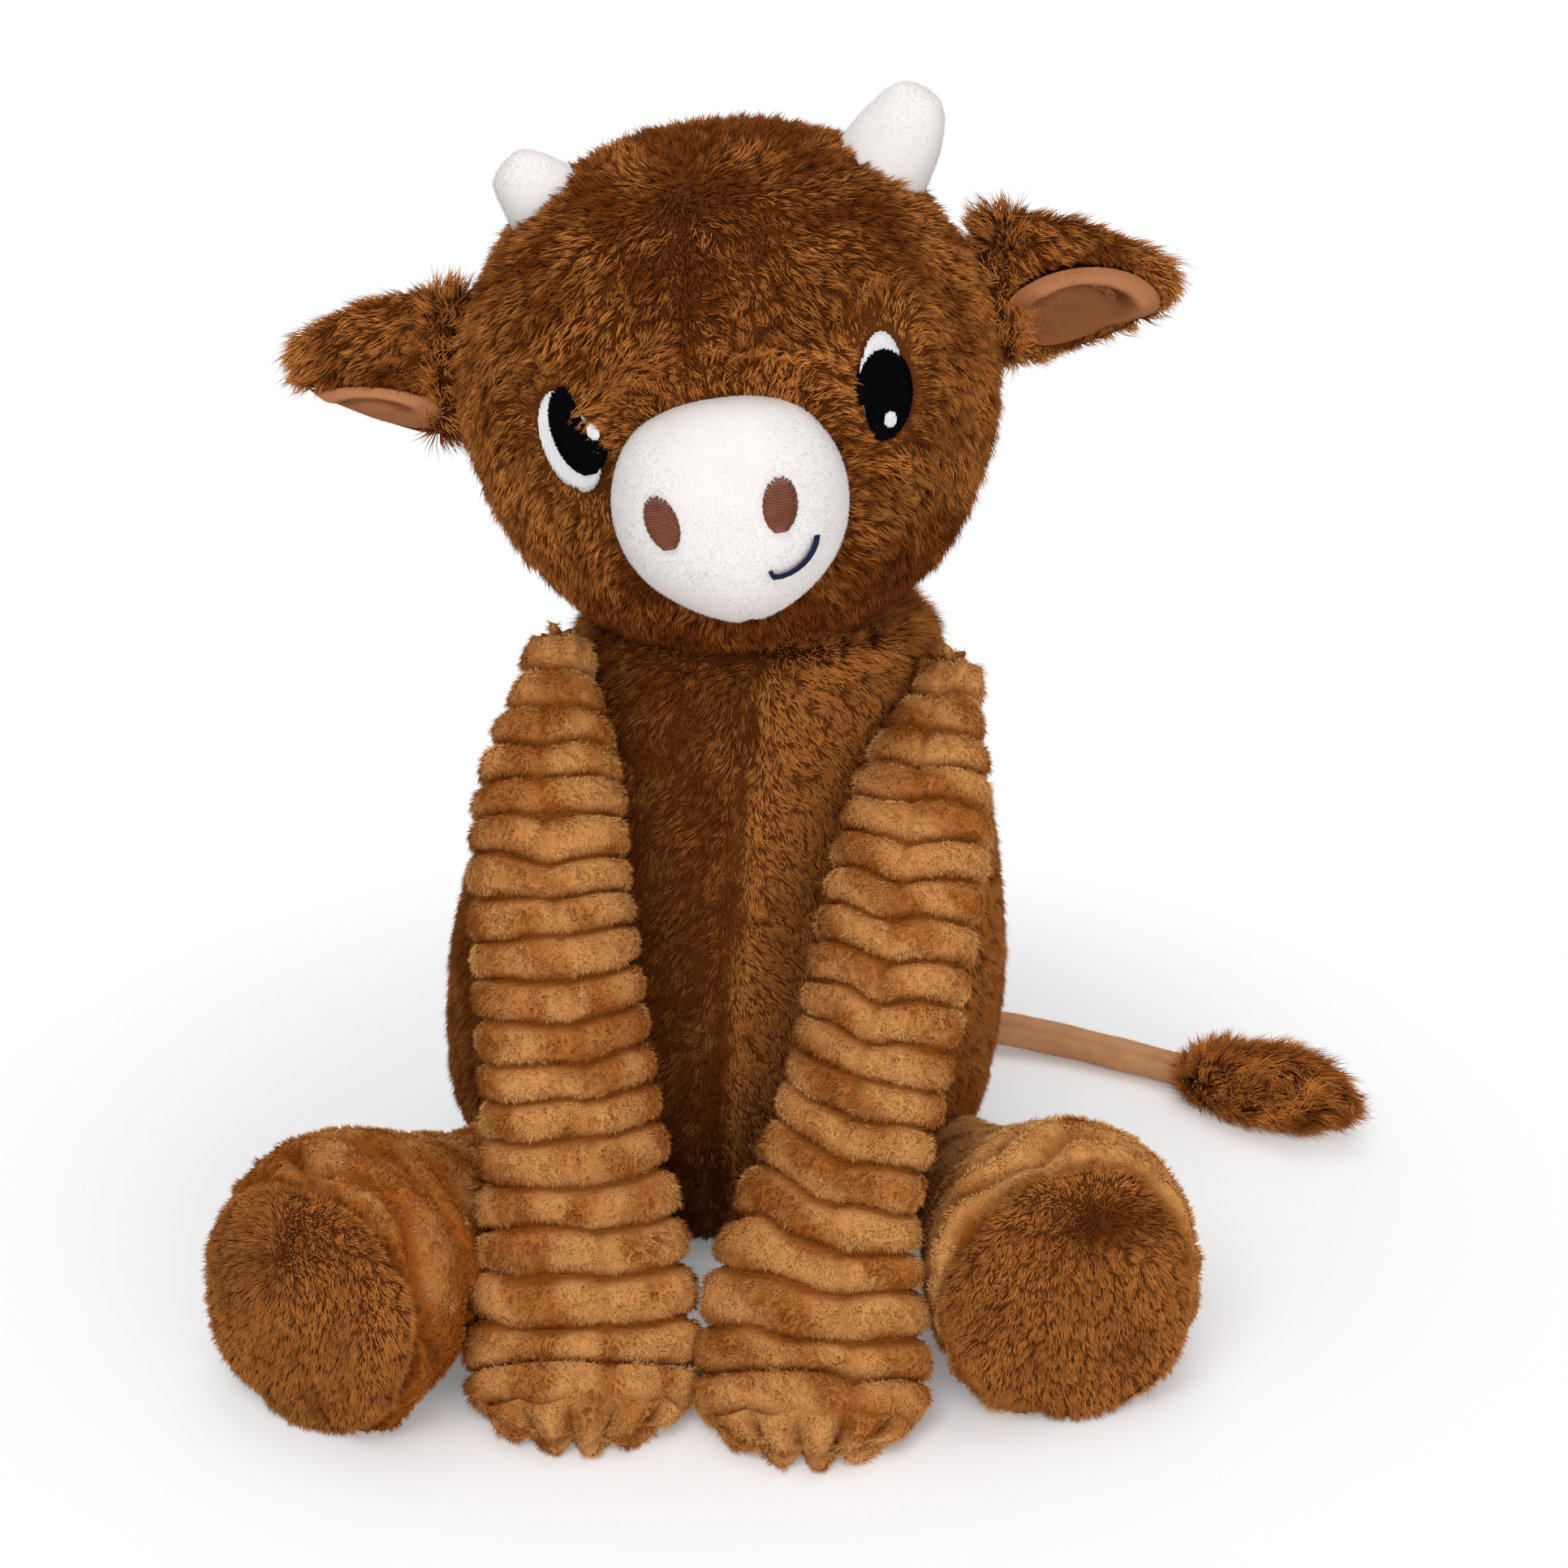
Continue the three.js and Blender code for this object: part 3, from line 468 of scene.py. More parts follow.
class Fibres:
    """The fibres of a pile, each with its own place, lie, length and shade."""

    def __init__(self, coat: Coat, pile: Pile, seed: int, clumps: Optional[Clumps]) -> None:
        """Draws the fibres.

        Args:
            coat: The skin and what steers its pile.
            pile: How the fibres stand.
            seed: The seed of the draws.
            clumps: The tufts that the fibres draw into.
        """
        rng = np.random.default_rng(seed)
        roots = coat.cloth.scatter(pile.per_mm2, rng)
        size = np.ones(len(roots.points)) if coat.scale is None else coat.scale(roots)
        roots, size = roots.only(size > LEAST_FIBRE), size[size > LEAST_FIBRE]
        points, normals, count = roots.points, roots.normals, len(size)
        tone = Waves(pile.patch, seed + 3).value(points) * pile.pale[1] + pile.pale[0]
        tone += rng.normal(size=count) * pile.fleck
        tone += 0 if coat.shade is None else coat.shade(roots)
        turn = pile.stray * (Waves(TURN_PATCH, seed + 1).value(points) * 0.5 + rng.normal(size=count) * 0.35)
        self.pull = np.zeros_like(points)
        if clumps is not None:
            tuft = clumps.nearest(points)
            pull = flat_on(clumps.middles[tuft] - points, normals)
            off = np.linalg.norm(pull, axis=1, keepdims=True)
            self.pull = pull * (pile.gather * np.minimum(1, 1.3 * clumps.spacing / np.maximum(off, 1e-6)))
            turn += pile.stray * 0.6 * clumps.turn[tuft]
            size = size * clumps.size[tuft]
            edge = np.clip(off[:, 0] / clumps.spacing, 0, 1.2)
            # Fibres nearer a tuft's edge are painted darker: painted shade in the gaps between tufts.
            tone += 0.11 * clumps.tone[tuft] + 0.4 * pile.pit - pile.pit * edge
        lie = unit(flat_on(coat.nap(roots), normals) + 1e-6)
        lie = unit(lie * np.cos(turn)[:, None] + np.cross(normals, lie) * np.sin(turn)[:, None])
        self.pile, self.points, self.normals, self.lie = pile, points, normals, lie
        self.tone = np.clip(tone, 0.01, 0.99)
        self.length = pile.length * size * (1 - pile.vary * rng.random(count))
        self.lean = np.clip(pile.lean + 0.1 * rng.normal(size=count), 0.05, 0.97)
        self.rise = np.sqrt(1 - self.lean**2)

    def spine(self, share: float) -> Array:
        """The fibres' middles at a share of their length.

        Args:
            share: The share, 0 at the root and 1 at the tip.

        Returns:
            A point for each fibre.
        """
        out = self.normals * (self.length * self.rise * (share - 0.3 * share * share))[:, None]
        ahead = self.lie * (self.length * self.lean * (0.6 * share + 0.4 * share * share))[:, None]
        return self.points - self.normals * FIBRE_DEPTH + out + ahead + self.pull * share

    def corners(self) -> tuple[Array, Array]:
        """The corners of the fibres: three for each ring, then the tip.

        Returns:
            Each fibre's corners, and for each corner its side, -1 to 1, and its share of the length.
        """
        side = np.cross(self.normals, self.lie)
        deep = unit(np.cross(side, unit(self.lie * self.lean[:, None] + self.normals * self.rise[:, None])))
        corners, places = [], []
        for share in (0.0, *self.pile.bends):
            middle = self.spine(share)
            radius = self.pile.width / 2 * (1 - FIBRE_TAPER * share)
            for k in range(3):
                angle = 2 * np.pi * k / 3
                thick = deep * FIBRE_FLATNESS * math.sin(angle)
                corners.append(middle + radius * (side * math.cos(angle) + thick))
                places.append((k - 1, share))
        corners.append(self.spine(1.0))
        places.append((0, 1.0))
        return lifted(np.stack(corners, 1), FLOOR_CLEAR), np.array(places)

    def parts(self, axis: Axis) -> list[Array]:
        """The fibres' numbers by their turn round an axis, in parts that aren't too large for a piece.

        Args:
            axis: A point and the direction of the axis.

        Returns:
            The numbers in each part.
        """
        first = unit(np.cross(axis[1], CUT_START))
        arm = self.points - axis[0]
        order = np.argsort(np.arctan2(arm @ np.cross(axis[1], first), arm @ first))
        triangles = len(order) * (6 * len(self.pile.bends) + 4)
        return np.array_split(order, max(1, math.ceil(triangles / PIECE_TRIANGLES)))


def fibre_faces(rings: int) -> list[Array]:
    """The faces of one three-sided fibre.

    Args:
        rings: How many rings it has below its tip.

    Returns:
        The corners of its quads, where it has any, and those of its triangles.
    """
    quads = [
        (r * 3 + k, r * 3 + (k + 1) % 3, (r + 1) * 3 + (k + 1) % 3, (r + 1) * 3 + k)
        for r in range(rings - 1)
        for k in range(3)
    ]
    top = (rings - 1) * 3
    triangles = [(top + k, top + (k + 1) % 3, rings * 3) for k in range(3)] + [(2, 1, 0)]
    return [np.array(shape) for shape in (quads, triangles) if shape]


def grow(
    name: str, coat: Coat, pile: Pile, seed: int, clumps: Optional[Clumps] = None
) -> list[bpy.types.Object]:
    """Grows a pile on a skin as closed tapered fibres.

    Args:
        name: The pieces' name, which gets a number each where there are more.
        coat: The skin and what steers its pile.
        pile: How the fibres stand.
        seed: The seed of the draws.
        clumps: The tufts that the fibres draw into.

    Returns:
        The pieces.
    """
    fibres = Fibres(coat, pile, seed, clumps)
    corners, places = fibres.corners()
    shapes = fibre_faces(len(pile.bends) + 1)
    parts = fibres.parts(coat.axis)
    pieces = []
    for number, part in enumerate(parts, 1):
        base = (np.arange(len(part)) * len(places))[:, None, None]
        maps = []
        for local in shapes:
            u = fibres.tone[part][:, None, None] + places[local, 0] * 0.002
            v = np.broadcast_to(places[local, 1] * 0.98 + 0.01, u.shape)
            maps.append(np.stack([u, v], -1).reshape(-1, 2))
        faces = [(base + local).reshape(-1, local.shape[1]) for local in shapes]
        label = name if len(parts) == 1 else f"{name}_{number}"
        pieces.append(make_object(label, corners[part].reshape(-1, 3), faces, np.concatenate(maps)))
    return pieces


@dataclass(frozen=True)
class Fur:
    """A long pile of two kinds of fibre: a close undercoat and longer guard fibres."""

    under: Pile
    guard: Pile
    tuft: float = 3.3

    def grow(self, name: str, coat: Coat, seed: int) -> list[bpy.types.Object]:
        """Grows both kinds on a skin in the same tufts.

        Args:
            name: The pieces' name.
            coat: The skin and what steers its pile.
            seed: The seed of the draws.

        Returns:
            The pieces.
        """
        clumps = Clumps(coat.cloth, self.tuft, seed + 7)
        under = grow(f"{name}_under", coat, self.under, seed, clumps)
        return under + grow(f"{name}_guard", coat, self.guard, seed + 20, clumps)


def tubes(name: str, paths: list[Array], radii: list[Array], sides: int = 6) -> bpy.types.Object:
    """Round threads along paths, closed at both ends, as one object.

    Args:
        name: The piece's name.
        paths: The points of each thread.
        radii: The thread's radius at each of its points.
        sides: The faces round a thread.

    Returns:
        The object.
    """
    points, quads, fans, start = [], [], [], 0
    for path, radius in zip(paths, radii):
        ahead = unit(np.gradient(path, axis=0))
        across = unit(np.cross(ahead, THREAD_SIDE))
        upward = np.cross(ahead, across)
        turn, wide = circle(sides)[None, :, None], radius[:, None, None]
        ring = path[:, None] + wide * across[:, None] * np.cos(turn) + wide * upward[:, None] * np.sin(turn)
        skin = Cloth(ring)
        points.append(skin.points)
        quads.append(skin.quads + start)
        fans.append(skin.fans + start)
        start += len(skin.points)
    return make_object(name, np.concatenate(points), [np.concatenate(quads), np.concatenate(fans)])


# Finishes


class Nodes:
    """Short hand for building a node tree."""

    def __init__(self, tree: bpy.types.NodeTree) -> None:
        """Keeps the tree, emptied."""
        self.tree = tree
        tree.nodes.clear()

    def add(self, kind: str, settings: Optional[dict] = None, **sockets: object) -> bpy.types.Node:
        """Adds a node.

        Args:
            kind: The node's type.
            settings: Its own properties.
            sockets: Its inputs by name, with underscores for spaces, as values or sockets to link.

        Returns:
            The node.
        """
        node = self.tree.nodes.new(kind)
        for key, value in (settings or {}).items():
            setattr(node, key, value)
        for key, value in sockets.items():
            self.put(node.inputs[key.replace("_", " ")], value)
        return node

    def put(self, socket: bpy.types.NodeSocket, value: object) -> None:
        """Links a socket, or sets its value.

        Args:
            socket: The input.
            value: A number, a colour or an output to link.
        """
        if isinstance(value, bpy.types.NodeSocket):
            self.tree.links.new(value, socket)
        elif isinstance(value, tuple) and len(value) == 3 and socket.type == "RGBA":
            socket.default_value = (*value, 1.0)
        else:
            socket.default_value = value

    def math(self, operation: str, a: object, b: object = 0.0, c: object = 0.0) -> bpy.types.NodeSocket:
        """A math node's value.

        Args:
            operation: What the node works out.
            a: The first number, colour or socket.
            b: The second.
            c: The third.

        Returns:
            The result's socket.
        """
        node = self.tree.nodes.new("ShaderNodeMath")
        node.operation = operation
        for socket, value in zip(node.inputs, (a, b, c)):
            self.put(socket, value)
        return node.outputs[0]

    def blend(self, factor: object, a: object, b: object, mode: str = "MIX") -> bpy.types.NodeSocket:
        """A mix of two colours.

        Args:
            factor: How much of the second.
            a: The first number, colour or socket.
            b: The second.
            mode: How the two are mixed.

        Returns:
            The mixed colour's socket.
        """
        node = self.tree.nodes.new("ShaderNodeMix")
        node.data_type = "RGBA"
        node.blend_type = mode
        self.put(node.inputs[0], factor)
        self.put(node.inputs[6], a)
        self.put(node.inputs[7], b)
        return node.outputs[2]

    def smooth(self, value: object, low: float, high: float) -> bpy.types.NodeSocket:
        """0 below low, 1 above high, and smooth between.

        Args:
            value: A number, a colour or an output to link.
            low: Where the rise begins.
            high: Where it ends.

        Returns:
            The result's socket.
        """
        node = self.add("ShaderNodeMapRange", {"interpolation_type": "SMOOTHSTEP"})
        self.put(node.inputs["Value"], value)
        node.inputs["From Min"].default_value = low
        node.inputs["From Max"].default_value = high
        return node.outputs["Result"]


def new_group(name: str, inputs: dict[str, object], outputs: dict[str, str]) -> bpy.types.NodeTree:
    """Starts a shader node group.

    Args:
        name: The group's name.
        inputs: Each input's default, a number or a colour.
        outputs: Each output's socket type.

    Returns:
        The group, with its sockets and no nodes.
    """
    group = bpy.data.node_groups.new(name, "ShaderNodeTree")
    for key, value in inputs.items():
        kind = "NodeSocketColor" if isinstance(value, tuple) else "NodeSocketFloat"
        socket = group.interface.new_socket(key, in_out="INPUT", socket_type=kind)
        socket.default_value = (*value, 1.0) if isinstance(value, tuple) else value
    for key, kind in outputs.items():
        group.interface.new_socket(key, in_out="OUTPUT", socket_type=kind)
    return group


@cache
def fibre_shade() -> bpy.types.NodeTree:
    """Group, made once: a fibre's colour from its own shade and the share of its length, with painted shade
    towards the root and the tip lifted paler.

    Returns:
        The group.
    """
    colours = {"Deep": (0.2, 0.1, 0.05), "Pale": (0.5, 0.3, 0.1), "Root": (0.05, 0.02, 0.01)}
    group = new_group("fibre_shade", {**colours, "Tip Lift": 1.2}, {"Color": "NodeSocketColor"})
    n = Nodes(group)
    given = n.add("NodeGroupInput").outputs
    place = n.add("ShaderNodeUVMap", {"uv_map": "OFBake"}).outputs[0]
    parts = n.add("ShaderNodeSeparateXYZ", Vector=place).outputs
    shade = n.blend(parts["X"], given["Deep"], given["Pale"])
    # The tip lift makes the tips paler: partly the fibres' own paler tips, partly painted light where the
    # tips catch the light.
    lift = n.add("ShaderNodeCombineXYZ", X=given["Tip Lift"], Y=given["Tip Lift"], Z=given["Tip Lift"])
    tip = n.blend(1.0, shade, lift.outputs[0], "MULTIPLY")
    body = n.blend(n.smooth(parts["Y"], 0.45, 1.0), shade, tip)
    # Towards the root the colour goes to the root's deep colour: painted shade deep in the pile.
    colour = n.blend(n.smooth(parts["Y"], -0.1, 0.6), given["Root"], body)
    n.add("NodeGroupOutput", Color=colour)
    return group


@cache
def cloth_grain() -> bpy.types.NodeTree:
    """Group, made once: a soft mottled colour and the height of a short nap, by place.

    Returns:
        The group.
    """
    inputs = {"Color": (0.5, 0.5, 0.5), "Shade": (0.3, 0.3, 0.3), "Lumps": 60.0, "Grain": 1500.0}
    group = new_group("cloth_grain", inputs, {"Color": "NodeSocketColor", "Height": "NodeSocketFloat"})
    n = Nodes(group)
    given = n.add("NodeGroupInput").outputs
    place = n.add("ShaderNodeTexCoord").outputs["Object"]
    lumps = n.add("ShaderNodeTexNoise", Vector=place, Scale=given["Lumps"], Detail=3.0)
    grain = n.add("ShaderNodeTexNoise", Vector=place, Scale=given["Grain"], Detail=2.0)
    wear = n.math("MULTIPLY", n.smooth(lumps.outputs[0], 0.35, 0.7), 0.6)
    fleck = n.math("MULTIPLY", n.smooth(grain.outputs[0], 0.35, 0.75), 0.5)
    mask = n.math("ADD", wear, fleck)
    n.add("NodeGroupOutput", Color=n.blend(mask, given["Color"], given["Shade"]), Height=grain.outputs[0])
    return group


def new_material(name: str) -> tuple[bpy.types.Material, Nodes]:
    """An empty node material and its tree.

    Args:
        name: The material's name.

    Returns:
        The material and its nodes.
    """
    material = bpy.data.materials.new(name)
    material.use_nodes = True
    return material, Nodes(material.node_tree)


@dataclass(frozen=True)
class PileFinish:
    """Colours of a pile's fibres, from root to tip, between a deep and a pale shade; the root colour is
    painted shade.
    """

    name: str
    deep: Colour
    pale: Colour
    root: Colour
    tip_lift: float = 1.0
    roughness: float = 0.85
    gloss: float = 0.06

    @cache
    def material(self) -> bpy.types.Material:
        """The finish as a material, made once.

        Returns:
            The material.
        """
        material, n = new_material(self.name)
        shade = n.add("ShaderNodeGroup", {"node_tree": fibre_shade()}, Deep=self.deep, Pale=self.pale,
                      Root=self.root, Tip_Lift=self.tip_lift)
        shader = n.add("ShaderNodeBsdfPrincipled", Base_Color=shade.outputs["Color"],
                       Roughness=self.roughness, Specular_IOR_Level=self.gloss)
        n.add("ShaderNodeOutputMaterial", Surface=shader.outputs[0])
        return material


@dataclass(frozen=True)
class ClothFinish:
    """Colour of a short-napped or woven cloth, mottled, with a fine bump."""

    name: str
    colour: Colour
    shade: Colour
    lumps: float = 60.0
    grain: float = 1500.0
    bump: float = 0.25
    roughness: float = 0.9
    gloss: float = 0.1

    @cache
    def material(self) -> bpy.types.Material:
        """The finish as a material, made once.

        Returns:
            The material.
        """
        material, n = new_material(self.name)
        grain = n.add("ShaderNodeGroup", {"node_tree": cloth_grain()}, Color=self.colour, Shade=self.shade,
                      Lumps=self.lumps, Grain=self.grain)
        bump = n.add("ShaderNodeBump", Strength=self.bump, Distance=0.001, Height=grain.outputs["Height"])
        shader = n.add("ShaderNodeBsdfPrincipled", Base_Color=grain.outputs["Color"],
                       Roughness=self.roughness, Specular_IOR_Level=self.gloss, Normal=bump.outputs[0])
        n.add("ShaderNodeOutputMaterial", Surface=shader.outputs[0])
        return material


Finish = Union[PileFinish, ClothFinish]


def thread(name: str, colour: Colour, shade: Colour, rough: float = 0.6, gloss: float = 0.1) -> ClothFinish:
    """The finish of a thread."""
    return ClothFinish(name, colour, shade, 200.0, 3500.0, 0.2, rough, gloss)


# Each pile's root colour is deeper than its fibres': painted shade deep in the pile. The tip lift is partly
# the fibres' own paler tips, partly painted light.
FUR = PileFinish("fur_fibres", (0.19, 0.046, 0.005), (0.66, 0.25, 0.056), (0.075, 0.019, 0.003), 1.42)
RIB_NAP = PileFinish("rib_fibres", (0.38, 0.105, 0.012), (0.86, 0.46, 0.16), (0.26, 0.075, 0.01), 1.18)
TAN_NAP = PileFinish("tan_fibres", (0.64, 0.33, 0.155), (0.86, 0.52, 0.28), (0.52, 0.25, 0.11))
EAR_NAP = PileFinish("ear_fibres", (0.2, 0.06, 0.02), (0.72, 0.33, 0.15), (0.2, 0.065, 0.022))
WHITE_NAP = PileFinish("white_fibres", (0.83, 0.8, 0.78), (0.88, 0.85, 0.83), (0.81, 0.77, 0.75))
FUR_BACKING = ClothFinish("fur_backing", (0.12, 0.032, 0.004), (0.08, 0.02, 0.003))
TAN_CLOTH = ClothFinish("tan_short_plush", (0.66, 0.34, 0.165), (0.54, 0.26, 0.12), 90.0, 2200.0, 0.35)
WHITE_CLOTH = ClothFinish("white_short_plush", (0.86, 0.83, 0.81), (0.82, 0.78, 0.76), 70.0, 1900.0, 0.2)
BROWN_THREAD = thread("satin_brown", (0.26, 0.085, 0.05), (0.14, 0.04, 0.022))
NAVY_THREAD = thread("satin_navy", (0.012, 0.016, 0.06), (0.008, 0.01, 0.035))
BLACK_THREAD = thread("satin_black", (0.004, 0.004, 0.005), (0.002, 0.002, 0.003), 1.0, 0.0)
WHITE_THREAD = thread("satin_white", (0.84, 0.83, 0.84), (0.74, 0.73, 0.74), 0.5)
SEAM_THREAD = thread("seam_thread", (0.42, 0.17, 0.03), (0.3, 0.11, 0.02))
LOOSE_FIBRE = ClothFinish("loose_fibre", (0.8, 0.78, 0.74), (0.7, 0.68, 0.64), 120.0, 900.0, 0.5)
PLAIN_CLOTH = ClothFinish("plain_cloth", (0.7, 0.67, 0.6), (0.6, 0.57, 0.5), 200.0, 2500.0, 0.3)
LONG_UNDER = Pile(4.9, 0.47, 2.4, 0.68, (), 0.45, 0.4, 0.3, (0.27, 0.17), 18.0, 0.08, 0.42)
LONG_GUARD = Pile(7.0, 0.42, 0.9, 0.66, (0.5,), 0.4, 0.5, 0.3, (0.58, 0.24), 18.0, 0.1, 0.42)
BODY_UNDER = Pile(4.6, 0.47, 2.2, 0.72, (), 0.35, 0.3, 0.3, (0.28, 0.16), 17.0, 0.1, 0.45)
BODY_GUARD = Pile(6.2, 0.42, 0.9, 0.74, (), 0.4, 0.4, 0.3, (0.52, 0.2), 17.0, 0.12, 0.45)
SOLE_UNDER = Pile(3.9, 0.44, 2.7, 0.6, (), 0.4, 0.25, 0.3, (0.4, 0.15), 18.0)
SOLE_GUARD = Pile(5.0, 0.4, 1.4, 0.62, (), 0.45, 0.3, 0.3, (0.62, 0.22), 18.0)
TUFT_UNDER = Pile(9.0, 0.46, 2.4, 0.8, (), 0.45, 0.3, 0.35, (0.4, 0.16), 16.0)
TUFT_GUARD = Pile(12.0, 0.42, 1.2, 0.8, (0.5,), 0.6, 0.4, 0.4, (0.72, 0.22), 12.0)


def settle(
    pieces: list[bpy.types.Object],
    body: str,
    slot: str,
    finish: Finish,
    node: Optional[str] = None,
) -> None:
    """Gives pieces their material and body, and hides the solid that they replace.

    Args:
        pieces: The pieces.
        body: The body that they ride on.
        slot: The record's material slot; not used.
        finish: What their material is made from.
        node: The solid that a piece replaces.
    """
    for piece in pieces:
        piece.data.materials.append(finish.material())
        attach(piece, body)
        if node is not None:
            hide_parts(node)


# The toy's parts


@dataclass
class Torso:
    """The pear-shaped body, sewn of two front panels and a back."""

    height: float = 184.0
    half_width: float = 80.0
    half_depth: float = 66.0
    lean: float = 8.0
    backing_inset: float = 0.6
    rows: int = 70
    columns: int = 112
    seam_depth: float = 3.4
    seam_width: float = 3.2
    side_swell: float = 2.4
    rim_round: float = 4.5
    rim_span: Pair = (0.955, 0.045)
    lump: float = 0.9
    lump_spacing: float = 55.0
    head_middle: Pair = (11.6, -15.0)
    head_gap: float = 5.0
    head_tilt: float = 0.176
    head_flat: float = 33.0
    tail_root: Point = (24.0, 54.0, 17.0)
    fur: Fur = Fur(BODY_UNDER, BODY_GUARD, 2.6)
    width_rows: Rows = (
        (0, 0.66), (0.04, 0.8), (0.1, 0.9), (0.2, 0.97), (0.34, 1), (0.5, 0.965),
        (0.66, 0.87), (0.8, 0.76), (0.92, 0.67), (1, 0.6),
    )
    depth_rows: Rows = (
        (0, 0.55), (0.04, 0.72), (0.1, 0.85), (0.2, 0.96), (0.34, 1), (0.5, 0.95),
        (0.66, 0.86), (0.8, 0.76), (0.92, 0.69), (1, 0.64),
    )
    lean_rows: Rows = ((0, -0.3), (0.35, -0.38), (0.7, 0.3), (1, 1))

    def middle(self, z: Array) -> Array:
        """The body's middle in X at a height."""
        return self.lean * along(self.lean_rows, z / self.height)

    def off_seam(self, points: Array) -> Array:
        """How far to the toy's left of the front seam each point is."""
        return points[..., 0] - self.middle(points[..., 2])

    def cloth(self) -> Cloth:
        """The skin under the fur.

        Returns:
            The skin.
        """
        share = np.linspace(0, 1, self.rows)
        turn = circle(self.columns)
        rim = self.rim_round * rise(share, *self.rim_span) ** 2.5
        a = self.half_width * along(self.width_rows, share) - self.backing_inset - rim
        b = self.half_depth * along(self.depth_rows, share) - self.backing_inset - rim
        z = self.height * share
        across, back = a[:, None] * np.cos(turn), b[:, None] * np.sin(turn)
        rings = xyz(self.middle(z)[:, None] + across, back, z[:, None])
        out = unit(xyz(np.cos(turn), np.sin(turn), 0.0))
        seam = bell(self.off_seam(rings), self.seam_width)
        front = (rings[:, :, 1] < 0) * seam * np.clip(share * 8, 0, 1)[:, None]
        lumps = self.lump * Waves(self.lump_spacing, 11).value(rings)
        lumps = lumps * np.clip(share * (1 - share) * 12, 0, 1)[:, None]
        swell = self.side_swell * np.abs(np.cos(turn)) ** 3 * np.clip(share * 5, 0, 1)[:, None]
        swell = swell * np.clip((0.9 - share) * 6, 0, 1)[:, None]
        rings = rings + out * (lumps + swell - self.seam_depth * front)[:, :, None]
        return Cloth(lifted(rings, FLOOR_CLEAR))

    def room(self, points: Array) -> Array:
        """How far the head's underside is above the body's top at each point.

        Args:
            points: The places.

        Returns:
            The room at each.
        """
        x = points[:, 0] - self.head_middle[0]
        reach = np.hypot(x, points[:, 1] - self.head_middle[1])
        return self.head_gap + self.head_tilt * x + 0.6 * np.maximum(reach - self.head_flat, 0)

    def rim(self, points: Array) -> Array:
        """One at the top's rim where the head leaves room for raised fur, and nothing elsewhere."""
        return bell(points[:, 2] - self.height, 8.0) * np.clip(self.room(points) / 9.0, 0, 1)

    def nap(self, roots: Roots) -> Array:
        """Down the body, away from the seam down the front, and outward on its top.

        Args:
            roots: Where the fibres stand.

        Returns:
            A direction at each.
        """
        points, normals = roots.points, roots.normals
        off = self.off_seam(points)
        front = np.clip(-normals[:, 1] * 1.5, 0, 1)
        part = np.tanh(off / 5.0) * (0.35 + 0.75 * bell(off, 16.0)) * front
        down = xyz(part, 0.0, -1.0 + 1.9 * self.rim(points))
        top = np.clip(normals[:, 2] * 2 - 0.6, 0, 1)[:, None]
        return down * (1 - top) + unit(xyz(off, points[:, 1], 0.0)) * top

    def shade(self, roots: Roots) -> Array:
        """Painted light on the panel to the toy's left of the seam, on the lower front and on the side facing
        the toy's left; painted shade on the panel to its right and in the seam.

        Args:
            roots: Where the fibres stand.

        Returns:
            What is added to each shade.
        """
        points, normals = roots.points, roots.normals
        off = self.off_seam(points)
        front = np.clip(-normals[:, 1] * 2, 0, 1)
        # Painted light on the lower front.
        low = 0.22 * fall(points[:, 2], 75.0, 50.0)
        # Painted light on the panel to the toy's left of the seam; painted shade on the panel to its right
        # and in the seam.
        panel = 0.48 * np.tanh(off / 3.0) + 0.25 - 0.45 * bell(off, 2.2) + low
        # Painted light on the side facing the toy's left.
        return front * panel + 0.1 * np.clip(normals[:, 0], 0, 1)

    def scale(self, roots: Roots) -> Array:
        """Full fur, as long on top as the head leaves room for, and none under the seat.

        Args:
            roots: Where the fibres stand.

        Returns:
            A share of the full length for each.
        """
        points, normals = roots.points, roots.normals
        off = self.off_seam(points)
        seam = bell(off, 2.0) * (points[:, 1] < 0)
        size = 1 - 0.45 * seam - 0.2 * (points[:, 2] < 14) + 0.4 * self.rim(points) * (normals[:, 2] < 0.6)
        size = size + 0.9 * bell(np.linalg.norm(points - self.tail_root, axis=1), 11.0)
        least = 0.6 * (np.hypot(off, points[:, 1]) > 29)
        top = np.where(normals[:, 2] > 0.6, np.clip((self.room(points) - 0.8) / 3.6, least, 1.5), 1.0)
        return np.where(normals[:, 2] < -0.8, 0.0, size * top)

    def build(self) -> None:
        """Makes the cover and its fur."""
        cloth = self.cloth()
        settle([cloth.cover("body_cover")], "torso", "brown_fur", FUR_BACKING, "body_skin")
        pile = self.fur.grow("body_fur", Coat(cloth, self.nap, self.scale, self.shade), 21)
        settle(pile, "torso", "brown_fur", FUR)
        LOG.info("body: cover and %d pieces of fur", len(pile))


